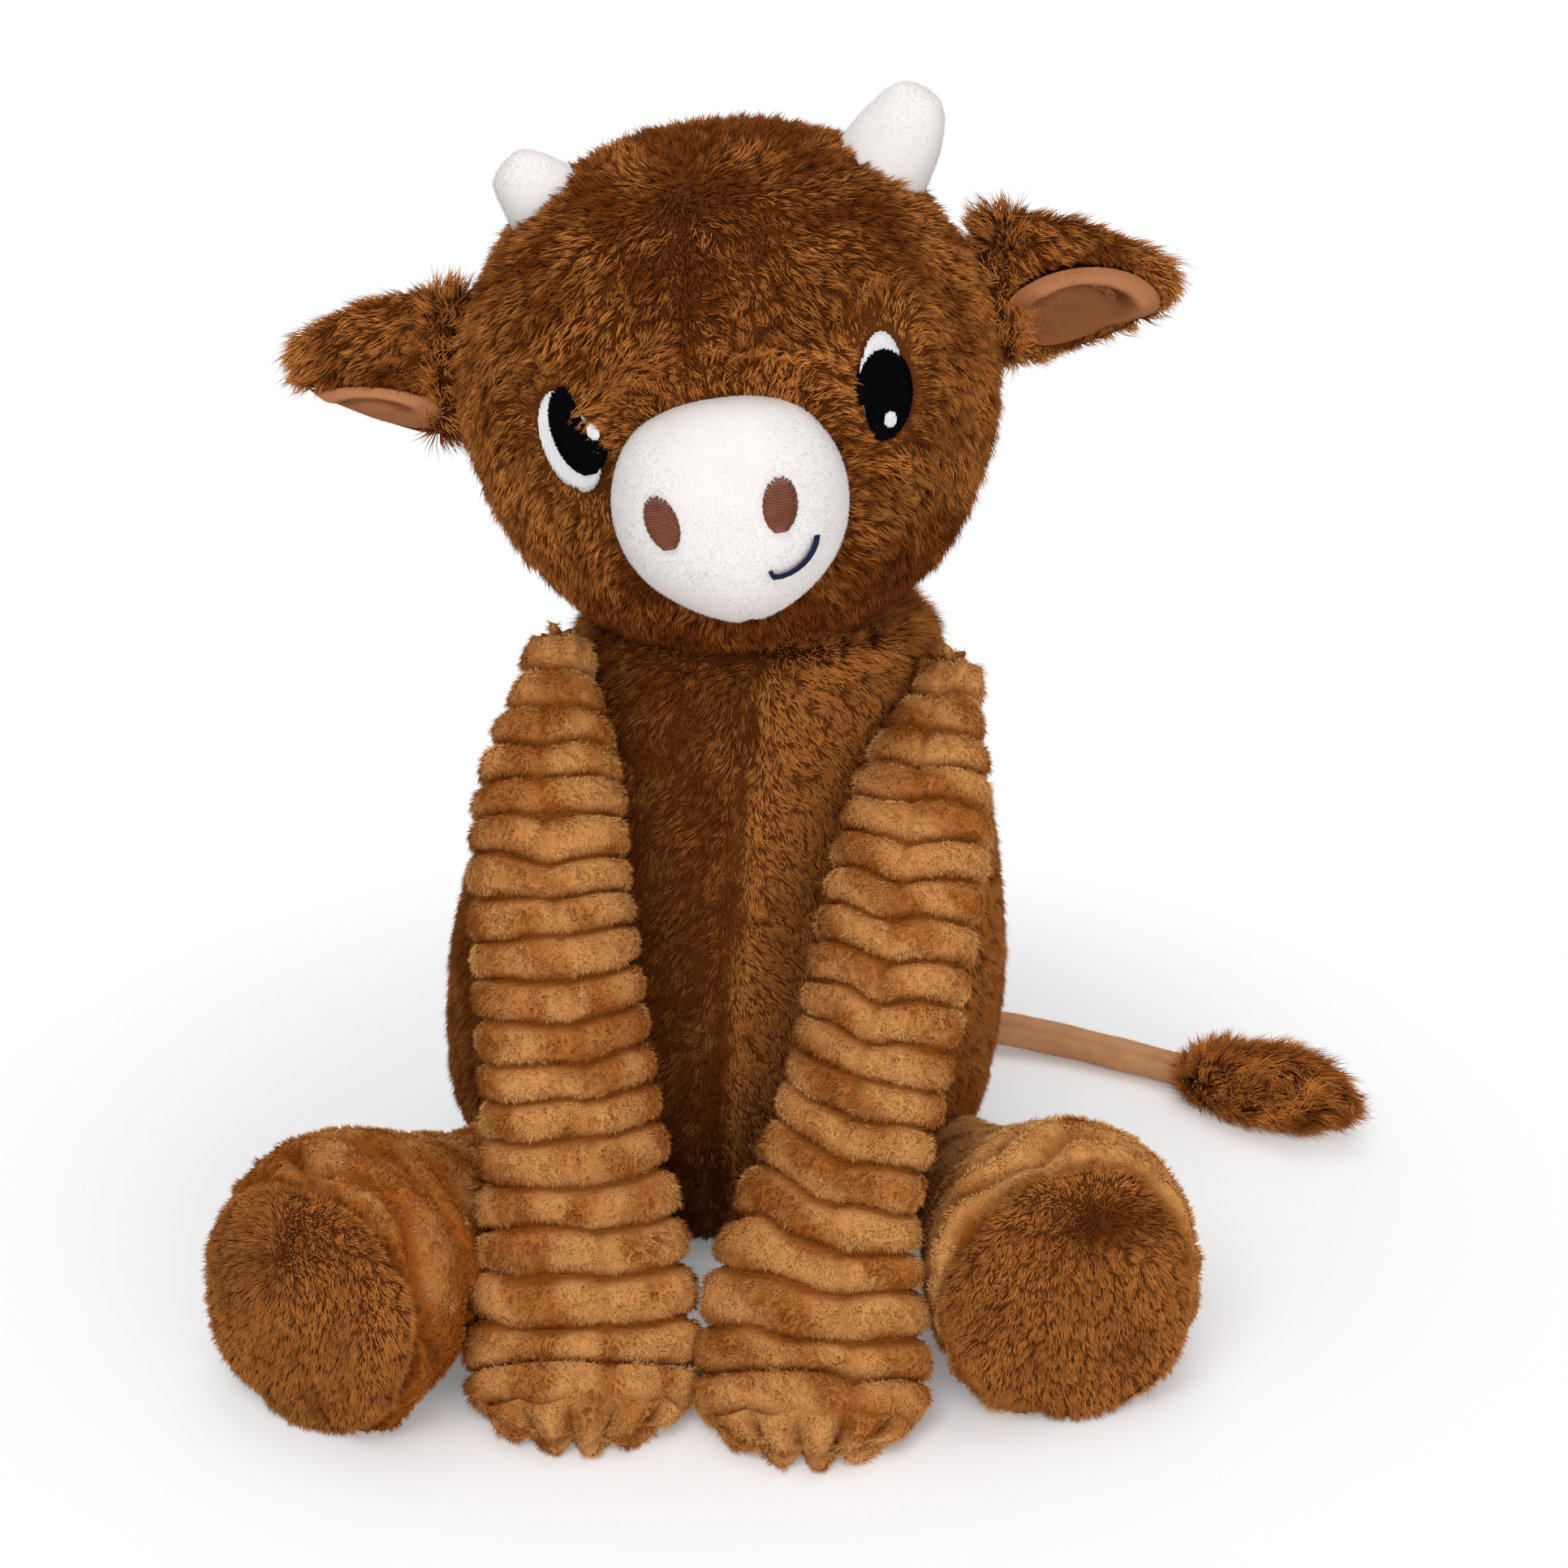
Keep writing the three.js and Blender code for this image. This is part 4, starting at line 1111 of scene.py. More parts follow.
@dataclass(frozen=True)
class HeadForm:
    """The head's shape and frame, shared by all that sits on it."""

    half_width: float = 72.0
    half_depth: float = 65.0
    half_height: float = 67.0
    centre: Point = (0.0, -15.0, 255.0)
    roll: float = -10.0
    neck: float = 184.6
    snout: Pair = (-1.5, -18.5)
    snout_half: Pair = (30.0, 29.0)
    width_rows: Rows = (
        (-1, 0.46), (-0.9, 0.62), (-0.75, 0.77), (-0.5, 0.9), (-0.25, 0.975), (0, 1),
        (0.3, 0.955), (0.55, 0.84), (0.75, 0.67), (0.9, 0.44), (0.975, 0.22), (1, 0.04),
    )

    def turn(self) -> Array:
        """The matrix from the head's own frame to the row frame."""
        return np.array(Euler((0, math.radians(self.roll), 0)).to_matrix())

    def place(self, points: Array) -> Array:
        """Points of the head's frame in the row frame."""
        return points @ self.turn().T + self.centre

    def local(self, points: Array) -> Array:
        """Points of the row frame in the head's frame."""
        return (points - self.centre) @ self.turn()

    def from_snout(self, local: Array) -> tuple[Array, Array]:
        """How far across and up from the snout's middle each point of the head's frame is."""
        return local[..., 0] - self.snout[0], local[..., 2] - self.snout[1]

    def front(self, x: Array, z: Array) -> Array:
        """The head's front surface, as Y in its own frame.

        Args:
            x: Places across the head.
            z: Places up the head.

        Returns:
            Y at each.
        """
        wide = along(self.width_rows, z / self.half_height)
        inside = np.clip(1 - (x / (self.half_width * wide)) ** 2, 0, 1)
        return -self.half_depth * wide * np.sqrt(inside)


@dataclass(frozen=True)
class EyeLook:
    """Where an eye is on the face, its white's middle and half sizes, and its light spot's middle.

    Lid is how far out the fur on the nose's side reaches over it, at its middle and for each step up.
    """

    side: Side
    x: float
    z: float
    white_x: float
    white_z: float
    white_half: Pair
    spot_x: float
    spot_z: float
    lid: Pair


@dataclass
class Muzzle:
    """The white snout dome with its stitched nostrils and smile."""

    form: HeadForm
    reach: float = 28.0
    roundness: float = 2.3
    seat: float = -62.2
    nostril: Pair = (4.2, 6.6)
    nostril_spread: float = 14.8
    nostril_x: float = -1.2
    nostril_rise: float = 6.0
    nostril_lean: float = 8.0
    smile_radius: float = 10.5
    smile_middle: Pair = (11.0, 1.5)
    smile_turn: Pair = (256.0, 342.0)
    smile_rows: Pair = (-0.42, 0.42)
    outline_rows: Rows = (
        (0, 1), (25, 1.035), (48, 1.06), (70, 1.015), (90, 0.99), (110, 1.02), (132, 1.065), (155, 1.035),
        (180, 1), (205, 0.965), (230, 0.935), (252, 0.965), (264, 1), (270, 0.98), (276, 1), (285, 0.985),
        (305, 0.965), (335, 0.98), (360, 1),
    )
    pile: Pile = Pile(1.3, 0.3, 2.2, 0.5, (), 0.9, 0.0, 0.4, (0.5, 0.3), 14.0)

    def outline(self, angle: Array) -> Array:
        """The outline's share of its ellipse, fuller at the upper corners and drawn in below."""
        return along(self.outline_rows, np.degrees(angle) % 360)

    def front(self, x: Array, z: Array) -> Array:
        """The dome's front surface, as Y in the head's frame.

        Args:
            x: Places across the head.
            z: Places up the head.

        Returns:
            Y at each.
        """
        across = (x - self.form.snout[0]) / self.form.snout_half[0]
        upward = (z - self.form.snout[1]) / self.form.snout_half[1]
        share = np.hypot(across, upward) / self.outline(np.arctan2(upward, across))
        return self.seat - self.reach * np.sqrt(np.clip(1 - np.clip(share, 0, 1) ** self.roundness, 0, 1))

    def cloth(self) -> Cloth:
        """The dome, closed behind, inside the head's skin.

        Returns:
            The skin.
        """
        turn = circle(96)
        (x, z), (half_x, half_z) = self.form.snout, self.form.snout_half
        rings = []
        for step in np.linspace(0.02, 1, 34):
            share = math.sin(step * math.pi / 2)
            wide = share * self.outline(turn)
            y = self.seat - self.reach * math.sqrt(max(0.0, 1 - share**self.roundness))
            rings.append(xyz(x + half_x * wide * np.cos(turn), y, z + half_z * wide * np.sin(turn)))
        edge = rings[-1]
        centre = edge.mean(0)
        for back, wide in ((3.0, 0.985), (6.0, 0.93), (9.0, 0.8)):
            ring = centre + (edge - centre) * wide
            ring[:, 1] = self.seat + back
            rings.append(ring)
        return Cloth(self.form.place(np.stack(rings)))

    def nap(self, roots: Roots) -> Array:
        """Outward and down over the dome.

        Args:
            roots: Where the fibres stand.

        Returns:
            A direction at each.
        """
        x, z = self.form.snout
        flow = self.form.local(roots.points) - (x, self.seat, z + 8)
        return flow @ self.form.turn().T

    def build(self) -> None:
        """Makes the dome, its nap, the nostrils and the smile."""
        cloth = self.cloth()
        settle([cloth.cover("muzzle_cover")], "head", "white_plush", WHITE_CLOTH, "muzzle")
        pile = grow("muzzle_nap", Coat(cloth, self.nap), self.pile, 31)
        settle(pile, "head", "white_plush", WHITE_NAP)
        x, z = self.form.snout
        for side in Side:
            middle = (x + self.nostril_x + side * self.nostril_spread, self.nostril_rise + z)
            stitches = NOSTRIL_STITCH.ellipse(
                f"nostril_stitches_{side.word}", self.form, self.front, middle, self.nostril,
                side * self.nostril_lean,
            )
            settle([stitches], "head", "nostril_thread", BROWN_THREAD, node=f"nostril_{side.word}")
        settle([self.smile()], "head", "navy_thread", NAVY_THREAD, node="smile")
        LOG.info("muzzle: cover, nap, nostrils and smile")

    def smile(self) -> bpy.types.Object:
        """The smile: three threads round an arc, with a short stitch across its lower end.

        Returns:
            The threads as one object.
        """
        x, z = self.form.snout[0] + self.smile_middle[0], self.form.snout[1] - self.smile_middle[1]
        rows = []
        for offset in (self.smile_rows[0], 0.0, self.smile_rows[1]):
            angle = np.radians(np.linspace(self.smile_turn[0] + offset * 2, self.smile_turn[1], 40))
            radius = self.smile_radius + offset
            lift = 1.5 * np.clip(from_ends(40) * 12, 0, 1) + 0.1 * np.sin(np.arange(40) * 1.3)
            rows.append((x + radius * np.cos(angle), z + radius * np.sin(angle), lift, 0.36))
        for start in (0.0, 0.55):
            lift = 1.55 * np.clip(from_ends(6) * 6 + 0.3, 0, 1)
            across = x - 2.4 + start + np.linspace(-0.5, 0.35, 6)
            rows.append((across, z - 10.2 + np.linspace(1.5, -0.9, 6), lift, 0.34))
        paths = [self.form.place(xyz(u, self.front(u, v) - lift, v)) for u, v, lift, _ in rows]
        return tubes("smile_stitches", paths, [np.full(len(u), radius) for u, _, _, radius in rows])


@dataclass(frozen=True)
class Stitch:
    """Satin stitch: close rows of thread over a face.

    Pitch is the distance between threads, radius a thread's own, lift how far it stands over the face,
    and angle its angle to the width of what it fills, in degrees.
    """

    pitch: float
    radius: float
    lift: float
    angle: float

    def ellipse(
        self,
        name: str,
        form: HeadForm,
        front: Callable[[Array, Array], Array],
        middle: Pair,
        half: Pair,
        lean: float,
        covered: Optional[Callable[[Array, Array], Array]] = None,
    ) -> bpy.types.Object:
        """Fills an ellipse.

        Args:
            name: The piece's name.
            form: The head's frame.
            front: The face's surface, as Y from X and Z.
            middle: The ellipse's middle in the face.
            half: Its half width and half height.
            lean: Its lean, in degrees, as the frame's prism leans.
            covered: Tells which places of the face fur hides, where no stitch shows.

        Returns:
            The stitches as one object.
        """
        paths, radii = [], []
        turn, tilt = math.radians(self.angle), math.radians(lean)
        reach = max(half)
        steps = np.linspace(-1, 1, 13)
        for number, offset in enumerate(np.arange(-reach, reach, self.pitch)):
            p = (math.cos(turn) / half[0]) ** 2 + (math.sin(turn) / half[1]) ** 2
            start = np.array([-math.sin(turn), math.cos(turn)]) * offset
            q = 2 * (start[0] * math.cos(turn) / half[0] ** 2 + start[1] * math.sin(turn) / half[1] ** 2)
            r = (start[0] / half[0]) ** 2 + (start[1] / half[1]) ** 2 - 1
            root = q * q - 4 * p * r
            if root <= 0:
                continue
            centre, reach_along = -q / (2 * p), math.sqrt(root) / (2 * p)
            along_row = centre + steps * (reach_along + 0.12 * math.sin(number * 2.4))
            u = start[0] + math.cos(turn) * along_row
            v = start[1] + math.sin(turn) * along_row
            x = middle[0] + u * math.cos(tilt) + v * math.sin(tilt)
            z = middle[1] - u * math.sin(tilt) + v * math.cos(tilt)
            crown = self.lift * np.clip(1 - np.abs(steps) ** 6, 0, 1) ** 0.5 + 0.05 * math.sin(number * 1.7)
            if covered is not None:
                shown = ~covered(x, z)
                if shown.sum() < 3:
                    continue
                x, z, crown = x[shown], z[shown], crown[shown]
            paths.append(form.place(xyz(x, front(x, z) - crown, z)))
            radii.append(np.full(len(x), self.radius * (1 + 0.08 * math.sin(number * 3.1))))
        return tubes(name, paths, radii, 5)


NOSTRIL_STITCH = Stitch(0.62, 0.3, 1.5, 0.0)
WHITE_STITCH = Stitch(0.5, 0.32, 0.9, 78.0)
PUPIL_STITCH = Stitch(0.48, 0.33, 1.75, 4.0)
SPOT_STITCH = Stitch(0.44, 0.3, 2.5, 80.0)


@dataclass
class Head:
    """The fur head with its swirl, its eyes, horns and snout."""

    form: HeadForm
    rows: int = 84
    columns: int = 128
    backing_inset: float = 0.8
    swirl: Point = (0.0, -29.0, 60.0)
    parting: Pair = (-8.2, 0.14)
    snout_seam: float = 31.0
    snout_ridge: float = 40.0
    seam_depth: float = 2.4
    ridge_rise: float = 1.6
    eye_half: Pair = (7.5, 11.4)
    eye_lean: float = 6.0
    horn_radius: float = 13.5
    horn_length: float = 28.0
    horn_x: float = 8.0
    horn_spread: float = 44.5
    horn_rise: float = 51.5
    horn_splay: float = 38.0
    horn_seat: float = 0.33
    eyes: tuple[EyeLook, ...] = (
        EyeLook(Side.LEFT, 40.97, 1.46, 0.2, 2.9, (5.6, 12.5), 0.1, -0.55, (-4.25, -0.37)),
        EyeLook(Side.RIGHT, -37.0, 6.23, -2.5, -3.1, (7.6, 13.3), 0.6, 0.0, (-1.9, 0.33)),
    )
    lid_overlap: float = 1.2
    spot_half: Pair = (1.6, 2.25)
    fur: Fur = Fur(LONG_UNDER, LONG_GUARD, 2.7)
    horn_nap: Pile = Pile(1.4, 0.3, 2.0, 0.5, (), 0.9, 0.0, 0.4, (0.5, 0.3), 14.0)
    horn_rows: Rows = (
        (0, 1), (0.35, 0.95), (0.62, 0.83), (0.82, 0.66), (0.94, 0.47), (0.985, 0.28), (1, 0.04),
    )

    def cloth(self) -> Cloth:
        """The skin under the fur, cut level at the neck.

        Returns:
            The skin.
        """
        form = self.form
        share = np.sin(np.linspace(-np.pi / 2, np.pi / 2, self.rows))
        turn = circle(self.columns)
        wide = along(form.width_rows, share)
        a = np.maximum(form.half_width * wide - self.backing_inset, 0.6)
        b = np.maximum(form.half_depth * wide - self.backing_inset, 0.6)
        z = (form.half_height - self.backing_inset) * share
        rings = xyz(a[:, None] * np.cos(turn), b[:, None] * np.sin(turn), z[:, None])
        rings = rings * (1 + 0.006 * Waves(45.0, 12).value(rings))[:, :, None]
        snout = np.hypot(*form.from_snout(rings))
        front, height = rings[:, :, 1] < 0, rings[:, :, 2]
        pinch = bell(snout - self.snout_seam, 4.0) * front * self.seam_depth
        ridge = bell(snout - self.snout_ridge, 5.0) * front * self.ridge_rise * (height > -18)
        parting = bell(self.off_parting(rings), 2.6) * front
        parting *= rise(height, 12.0, 8.0) * fall(height, 62.0, 12.0)
        sunk = self.seam_depth * np.maximum(parting, bell(self.from_swirl(rings), 4.5))
        rings = rings + unit(rings) * (ridge - pinch - sunk)[:, :, None]
        return Cloth(lifted(form.place(rings), form.neck))

    def from_swirl(self, local: Array) -> Array:
        """How far from the middle of the crown's swirl each point is."""
        return np.linalg.norm(local - self.swirl, axis=-1)

    def off_parting(self, local: Array) -> Array:
        """How far to the toy's left of the forehead's seam a point is."""
        return local[..., 0] - self.parting[0] - self.parting[1] * local[..., 2]

    def eye_place(self, local: Array, look: EyeLook) -> tuple[Array, Array]:
        """A point's place in an eye's own frame: outward from the nose, and up.

        Args:
            local: The points, in the head's frame.
            look: The eye.

        Returns:
            How far outward and how far up each is.
        """
        lean = math.radians(look.side * self.eye_lean)
        x, z = local[..., 0] - look.x, local[..., 2] - look.z
        across = x * math.cos(lean) - z * math.sin(lean)
        return look.side * across, x * math.sin(lean) + z * math.cos(lean)

    def eye_cover(self, local: Array, look: EyeLook) -> tuple[Array, Array]:
        """How points lie to an eye and to the fur that reaches over it from the nose's side.

        Args:
            local: The points, in the head's frame.
            look: The eye.

        Returns:
            How far each is from the eye's middle, as a share of the eye with its white, and how far past
            that fur.
        """
        outward, upward = self.eye_place(local, look)
        wide = max(self.eye_half[0], look.white_half[0] + look.side * look.white_x)
        reach = np.where(outward > 0, wide, self.eye_half[0]) + 0.6
        above = max(self.eye_half[1], look.white_half[1] + look.white_z)
        below = max(self.eye_half[1], look.white_half[1] - look.white_z)
        high = np.where(upward > 0, above, below) + 0.4
        share = np.where(local[:, 1] < 0, np.hypot(outward / reach, upward / high), 9.0)
        return share, outward - (look.lid[0] + look.lid[1] * upward)

    def nap(self, roots: Roots) -> Array:
        """Away from the swirl and down, out round the snout, and off the eyes.

        Args:
            roots: Where the fibres stand.

        Returns:
            A direction at each.
        """
        local = self.form.local(roots.points)
        away, distance = local - self.swirl, self.from_swirl(local)
        flow = away / np.maximum(distance, 1)[:, None] * (1.1 * np.exp(-distance / 60.0) + 0.25)[:, None]
        flow[:, 2] -= 0.75 * (1 - np.exp(-distance / 38.0)) * np.clip(1.2 - local[:, 2] / 80.0, 0, 1)
        flow[:, 1] += 0.5 * np.clip(local[:, 2] / self.form.half_height, 0, 1) * (local[:, 1] > -20)
        off = self.off_parting(local)
        seam = bell(off, 7.0) * (local[:, 1] < 0) * (local[:, 2] > 5)
        flow[:, 0] += 0.8 * np.tanh(off / 3.0) * seam
        across, upward = self.form.from_snout(local)
        snout = xyz(across, 0.0, upward)
        reach = np.linalg.norm(snout, axis=1)
        near = bell(np.maximum(reach - self.snout_seam, 0), 11.0) * (local[:, 1] < -20)
        flow = flow * (1 - near)[:, None] + snout / np.maximum(reach, 1)[:, None] * near[:, None] * 1.2
        for look in self.eyes:
            share, over = self.eye_cover(local, look)
            off_eye = unit(xyz(local[:, 0] - look.x, 0.0, local[:, 2] - look.z))
            push = bell(np.maximum(share - 1, 0), 0.75) * (share < 3) * (over > 0)
            flow = flow * (1 - push)[:, None] + off_eye * push[:, None] * 1.3
            cover = bell(np.minimum(over, 0), 9.0) * (share < 1.7) * (over <= 0)
            toward = np.array([look.side, 0.0, -0.45])
            flow = flow * (1 - cover)[:, None] + toward * cover[:, None]
        return flow @ self.form.turn().T

    def scale(self, roots: Roots) -> Array:
        """Full fur, short round the eyes, none under them or the snout.

        Args:
            roots: Where the fibres stand.

        Returns:
            A share of the full length for each.
        """
        local = self.form.local(roots.points)
        size = np.ones(len(local))
        for look in self.eyes:
            share, over = self.eye_cover(local, look)
            bare = over > -self.lid_overlap
            size = np.where((share < 1) & bare, 0.0, size)
            size = size * (1 - 0.55 * bell(share - 1, 0.45) * bare)
            cut = 0.35 if look.side is Side.RIGHT else 0.5
            size = size * (1 - cut * bell(over + self.lid_overlap, 5.0) * (share < 1.25) * ~bare)
        across, upward = self.form.from_snout(local)
        snout = np.hypot(across / self.form.snout_half[0], upward / self.form.snout_half[1])
        size = np.where((snout < 0.97) & (local[:, 1] < 0), 0.0, size)
        size = np.where(roots.points[:, 2] < self.form.neck + 0.5, 0.0, size)
        return size * (1 - 0.6 * bell(self.from_swirl(local), 5.0))

    def shade(self, roots: Roots) -> Array:
        """Painted highlight on the crown of the ridge over the snout; darker round the swirl and towards the
        top; painted shade in the swirl's sunk middle, along the forehead's sunk parting and under the chin.

        Args:
            roots: Where the fibres stand.

        Returns:
            What is added to each shade.
        """
        local = self.form.local(roots.points)
        snout, whorl = np.hypot(*self.form.from_snout(local)), self.from_swirl(local)
        # Darker round the swirl, with painted shade in its sunk middle.
        deep = bell(whorl, 30.0) + 5.0 * bell(whorl, 4.0)
        # Painted shade along the forehead's sunk parting.
        seam = bell(self.off_parting(local), 1.9) * (local[:, 1] < 0) * (local[:, 2] > 12)
        # Painted highlight on the crown of the ridge over the snout.
        ridge = bell(snout - 38.0, 7.0) * (local[:, 1] < 0) * (local[:, 2] > -10)
        # Darker towards the top; painted shade under the chin.
        ends = 0.3 * rise(local[:, 2], 20, 35) + 0.6 * fall(local[:, 2], -34, 15)
        return 0.22 * ridge - 0.12 * deep - 0.55 * seam - ends + 0.02

    def horn_cloth(self, side: Side) -> Cloth:
        """A horn: a blunt cone that leans outward, a little uneven.

        Args:
            side: The horn's side.

        Returns:
            The skin.
        """
        turn = circle(48)
        share = np.sin(np.linspace(0, np.pi / 2, 26))
        radius = self.horn_radius * along(self.horn_rows, share) - 0.4
        height = self.horn_length * (share - self.horn_seat)
        ring = xyz(radius[:, None] * np.cos(turn), radius[:, None] * np.sin(turn), height[:, None])
        ring *= (1 + 0.02 * Waves(16.0, 40 + side).value(ring))[:, :, None]
        seam = bell(wrapped(turn - 1.2), 0.12)
        ring[:, :, :2] *= (1 - 0.05 * seam)[None, :, None]
        place = (self.horn_x + side * self.horn_spread, 0, self.horn_rise)
        return Cloth(self.form.place(ring @ about_y(self.horn_splay * side).T + place))

    def build(self) -> None:
        """Makes the cover, its fur, the eyes and the horns."""
        cloth = self.cloth()
        settle([cloth.cover("head_cover")], "head", "brown_fur", FUR_BACKING, "head_skin")
        coat = Coat(cloth, self.nap, self.scale, self.shade, (self.form.centre, UP))
        pile = self.fur.grow("head_fur", coat, 41)
        settle(pile, "head", "brown_fur", FUR)
        LOG.info("head: cover and %d pieces of fur", len(pile))
        for look in self.eyes:
            self.build_eye(look)
        for side in Side:
            horn = self.horn_cloth(side)
            shell = horn.cover(f"horn_cover_{side.word}")
            settle([shell], "head", "white_plush", WHITE_CLOTH, f"horn_{side.word}")
            coat = Coat(horn, straight((side * 0.6, 0.0, 1.0)))
            nap = grow(f"horn_nap_{side.word}", coat, self.horn_nap, 50 + side)
            settle(nap, "head", "white_plush", WHITE_NAP)
        LOG.info("head: eyes and horns")

    def build_eye(self, look: EyeLook) -> None:
        """Makes an eye: white, black and light spot in satin stitch.

        Args:
            look: The eye.
        """
        word, form = look.side.word, self.form
        lean = look.side * self.eye_lean

        def covered(x: Array, z: Array) -> Array:
            """Where the fur on the nose's side hides the stitches."""
            _, over = self.eye_cover(xyz(x, 0.0, z), look)
            return over < -2 * self.lid_overlap

        middle = (look.x + look.white_x, look.z + look.white_z)
        white = WHITE_STITCH.ellipse(
            f"eye_white_stitches_{word}", form, form.front, middle, look.white_half, lean, covered
        )
        black = PUPIL_STITCH.ellipse(
            f"pupil_stitches_{word}", form, form.front, (look.x, look.z), self.eye_half, lean, covered
        )
        middle = (look.x + look.spot_x * self.eye_half[0], look.z + look.spot_z * self.eye_half[1])
        spot = SPOT_STITCH.ellipse(f"spot_stitches_{word}", form, form.front, middle, self.spot_half, lean)
        for piece, node, slot, finish in (
            (white, "eye_white", "white_thread", WHITE_THREAD),
            (black, "pupil", "black_thread", BLACK_THREAD),
            (spot, "highlight", "white_thread", WHITE_THREAD),
        ):
            settle([piece], "head", slot, finish, node=f"{node}_{word}")


@dataclass
class Ear:
    """A leaf-shaped ear, fur behind and at its rim, with a tan lining cupped in front."""

    form: HeadForm
    side: Side
    rise_share: float
    length: float
    droop: float
    sweep: float = 8.0
    half_height: float = 20.0
    half_thickness: float = 7.5
    root_radius: float = 5.5
    seat: float = 1.6
    cup_rise: float = -0.24
    cup_half: float = 0.62
    cup_middle: float = 0.46
    cup_reach: float = 0.44
    cup_depth: float = 1.35
    bare_edge: float = 1.0
    roll: float = 8.0
    pale: float = 0.0
    fur: Fur = Fur(LONG_UNDER, LONG_GUARD)
    tufts: Pile = Pile(11.0, 0.44, 2.4, 0.45, (0.5,), 1.0, 0.5, 0.4, (0.7, 0.2), 20.0)
    nap_short: Pile = Pile(1.3, 0.3, 2.2, 0.5, (), 0.6, 0.0, 0.4, (0.5, 0.3), 12.0)
    height_rows: Rows = (
        (0, 0.98), (0.15, 1), (0.4, 0.88), (0.65, 0.68), (0.85, 0.44), (0.95, 0.28), (1, 0.1),
    )
    thick_rows: Rows = ((0, 0.72), (0.2, 0.95), (0.5, 1), (0.8, 0.75), (1, 0.3))

    def place(self, points: Array) -> Array:
        """Points of the ear's own frame in the row frame.

        Args:
            points: The places.

        Returns:
            The places in the row frame.
        """
        out = self.side
        wide = self.form.half_width * float(along(self.form.width_rows, np.array(self.rise_share)))
        height = self.form.half_height * self.rise_share
        root = np.array([out * (wide + self.root_radius - self.seat), self.root_radius, height])
        return self.form.place(points @ (about_z(out * self.sweep) @ about_y(out * self.droop)).T + root)

    def in_cup(self, x: Array, z: Array) -> tuple[Array, Array]:
        """Places along and up the lining's cup, each -1 to 1 between its rims."""
        out = (x / (self.side * self.length) - self.cup_middle) / self.cup_reach
        return out, (z / self.half_height - self.cup_rise) / self.cup_half

    def pressed(self, x: Array, z: Array) -> Array:
        """How far back the cup presses the front at each point."""
        u, v = self.in_cup(x, z)
        return self.half_thickness * self.cup_depth * np.clip(1 - (u * u + v * v), 0, 1) ** 0.7

    def leaf(self) -> Array:
        """The leaf's rings in the ear's own frame, with the cup pressed in its front.

        Returns:
            The rings.
        """
        share = np.linspace(0, 1, 44)
        turn = circle(72)
        tall = self.half_height * along(self.height_rows, share) - 0.4
        thick = self.half_thickness * along(self.thick_rows, share) - 0.4
        x = (self.side * self.length * share)[:, None]
        y, z = thick[:, None] * np.sin(turn), tall[:, None] * np.cos(turn)
        return xyz(x, y + (y < 0) * self.pressed(x, z), z)

    def leaf_cloth(self) -> Cloth:
        """The leaf's skin, with marks for the length of its fur: none on the lining's place.

        Returns:
            The skin.
        """
        local = self.leaf()
        x, z = local[:, :, 0], local[:, :, 2]
        u, v = self.in_cup(x, z)
        rim = 1 - u**2 - v**2
        front = np.where(rim > 0.02, 0.0, np.clip(0.55 - 0.6 * rim, 0.55, 1.0))
        marks = np.where(np.sin(circle(72)) < 0, front, 1.0)
        edge = z / (self.half_height * along(self.height_rows, np.abs(x) / self.length))
        return Cloth(self.place(local), np.where((edge < -self.bare_edge) & (np.abs(u) < 0.9), 0.0, marks))

    def root(self) -> Array:
        """The rounded root that sits in the head's groove, as rings in the ear's own frame.

        Returns:
            The rings.
        """
        turn = circle(24)
        tall = 2 * self.half_height * 0.92
        levels = np.array([-0.5, -0.47, 0.47, 0.5]) * tall
        wide = np.array([0.7, 0.97, 0.97, 0.7]) * self.root_radius
        return xyz(wide[:, None] * np.cos(turn), wide[:, None] * np.sin(turn), levels[:, None])

    def lining(self) -> tuple[Array, Array]:
        """The lining as a thin closed patch over the cup, with a thick roll above and a slit under it.

        Returns:
            The rings in the ear's own frame, and marks that are 1 on the roll and 0 in the slit.
        """
        turn = circle(56)
        rings, marks = [], []
        steps = [(0.03, 0.5), *((w, 0.55) for w in np.linspace(0.08, 0.96, 30)), (1.0, 0.1), (0.96, -0.7)]
        for wide, lift in steps:
            across, upward = self.cup_reach * 0.985 * wide, self.cup_half * 0.985 * wide
            x = self.side * self.length * (self.cup_middle + across * np.cos(turn))
            z = self.half_height * (self.cup_rise + upward * np.sin(turn))
            share = np.abs(x) / self.length
            tall = self.half_height * along(self.height_rows, share) * 0.96
            over = np.maximum(np.abs(z) / tall - 0.78, 0)
            z = np.where(over > 0, np.sign(z) * tall * (0.78 + 0.2 * (1 - np.exp(-over / 0.2))), z)
            thick = self.half_thickness * along(self.thick_rows, share)
            y = -thick * np.sqrt(np.clip(1 - (z * 0.96 / tall) ** 2, 0, 1))
            y = y + self.pressed(x, z) - lift
            upper = np.clip(0.62 + 0.8 * np.sin(turn) + 0.2 * np.cos(turn), 0, 1)
            side = wide - 0.72
            roll = np.exp(-((side / (0.15 if side < 0 else 0.3)) ** 2)) * upper
            slit = math.exp(-(((wide - 0.5) / 0.13) ** 2)) * np.clip(1.4 * np.sin(turn) + 0.2, 0, 1)
            rings.append(xyz(x, y - self.roll * roll, z - 0.2 * self.roll * roll * upper))
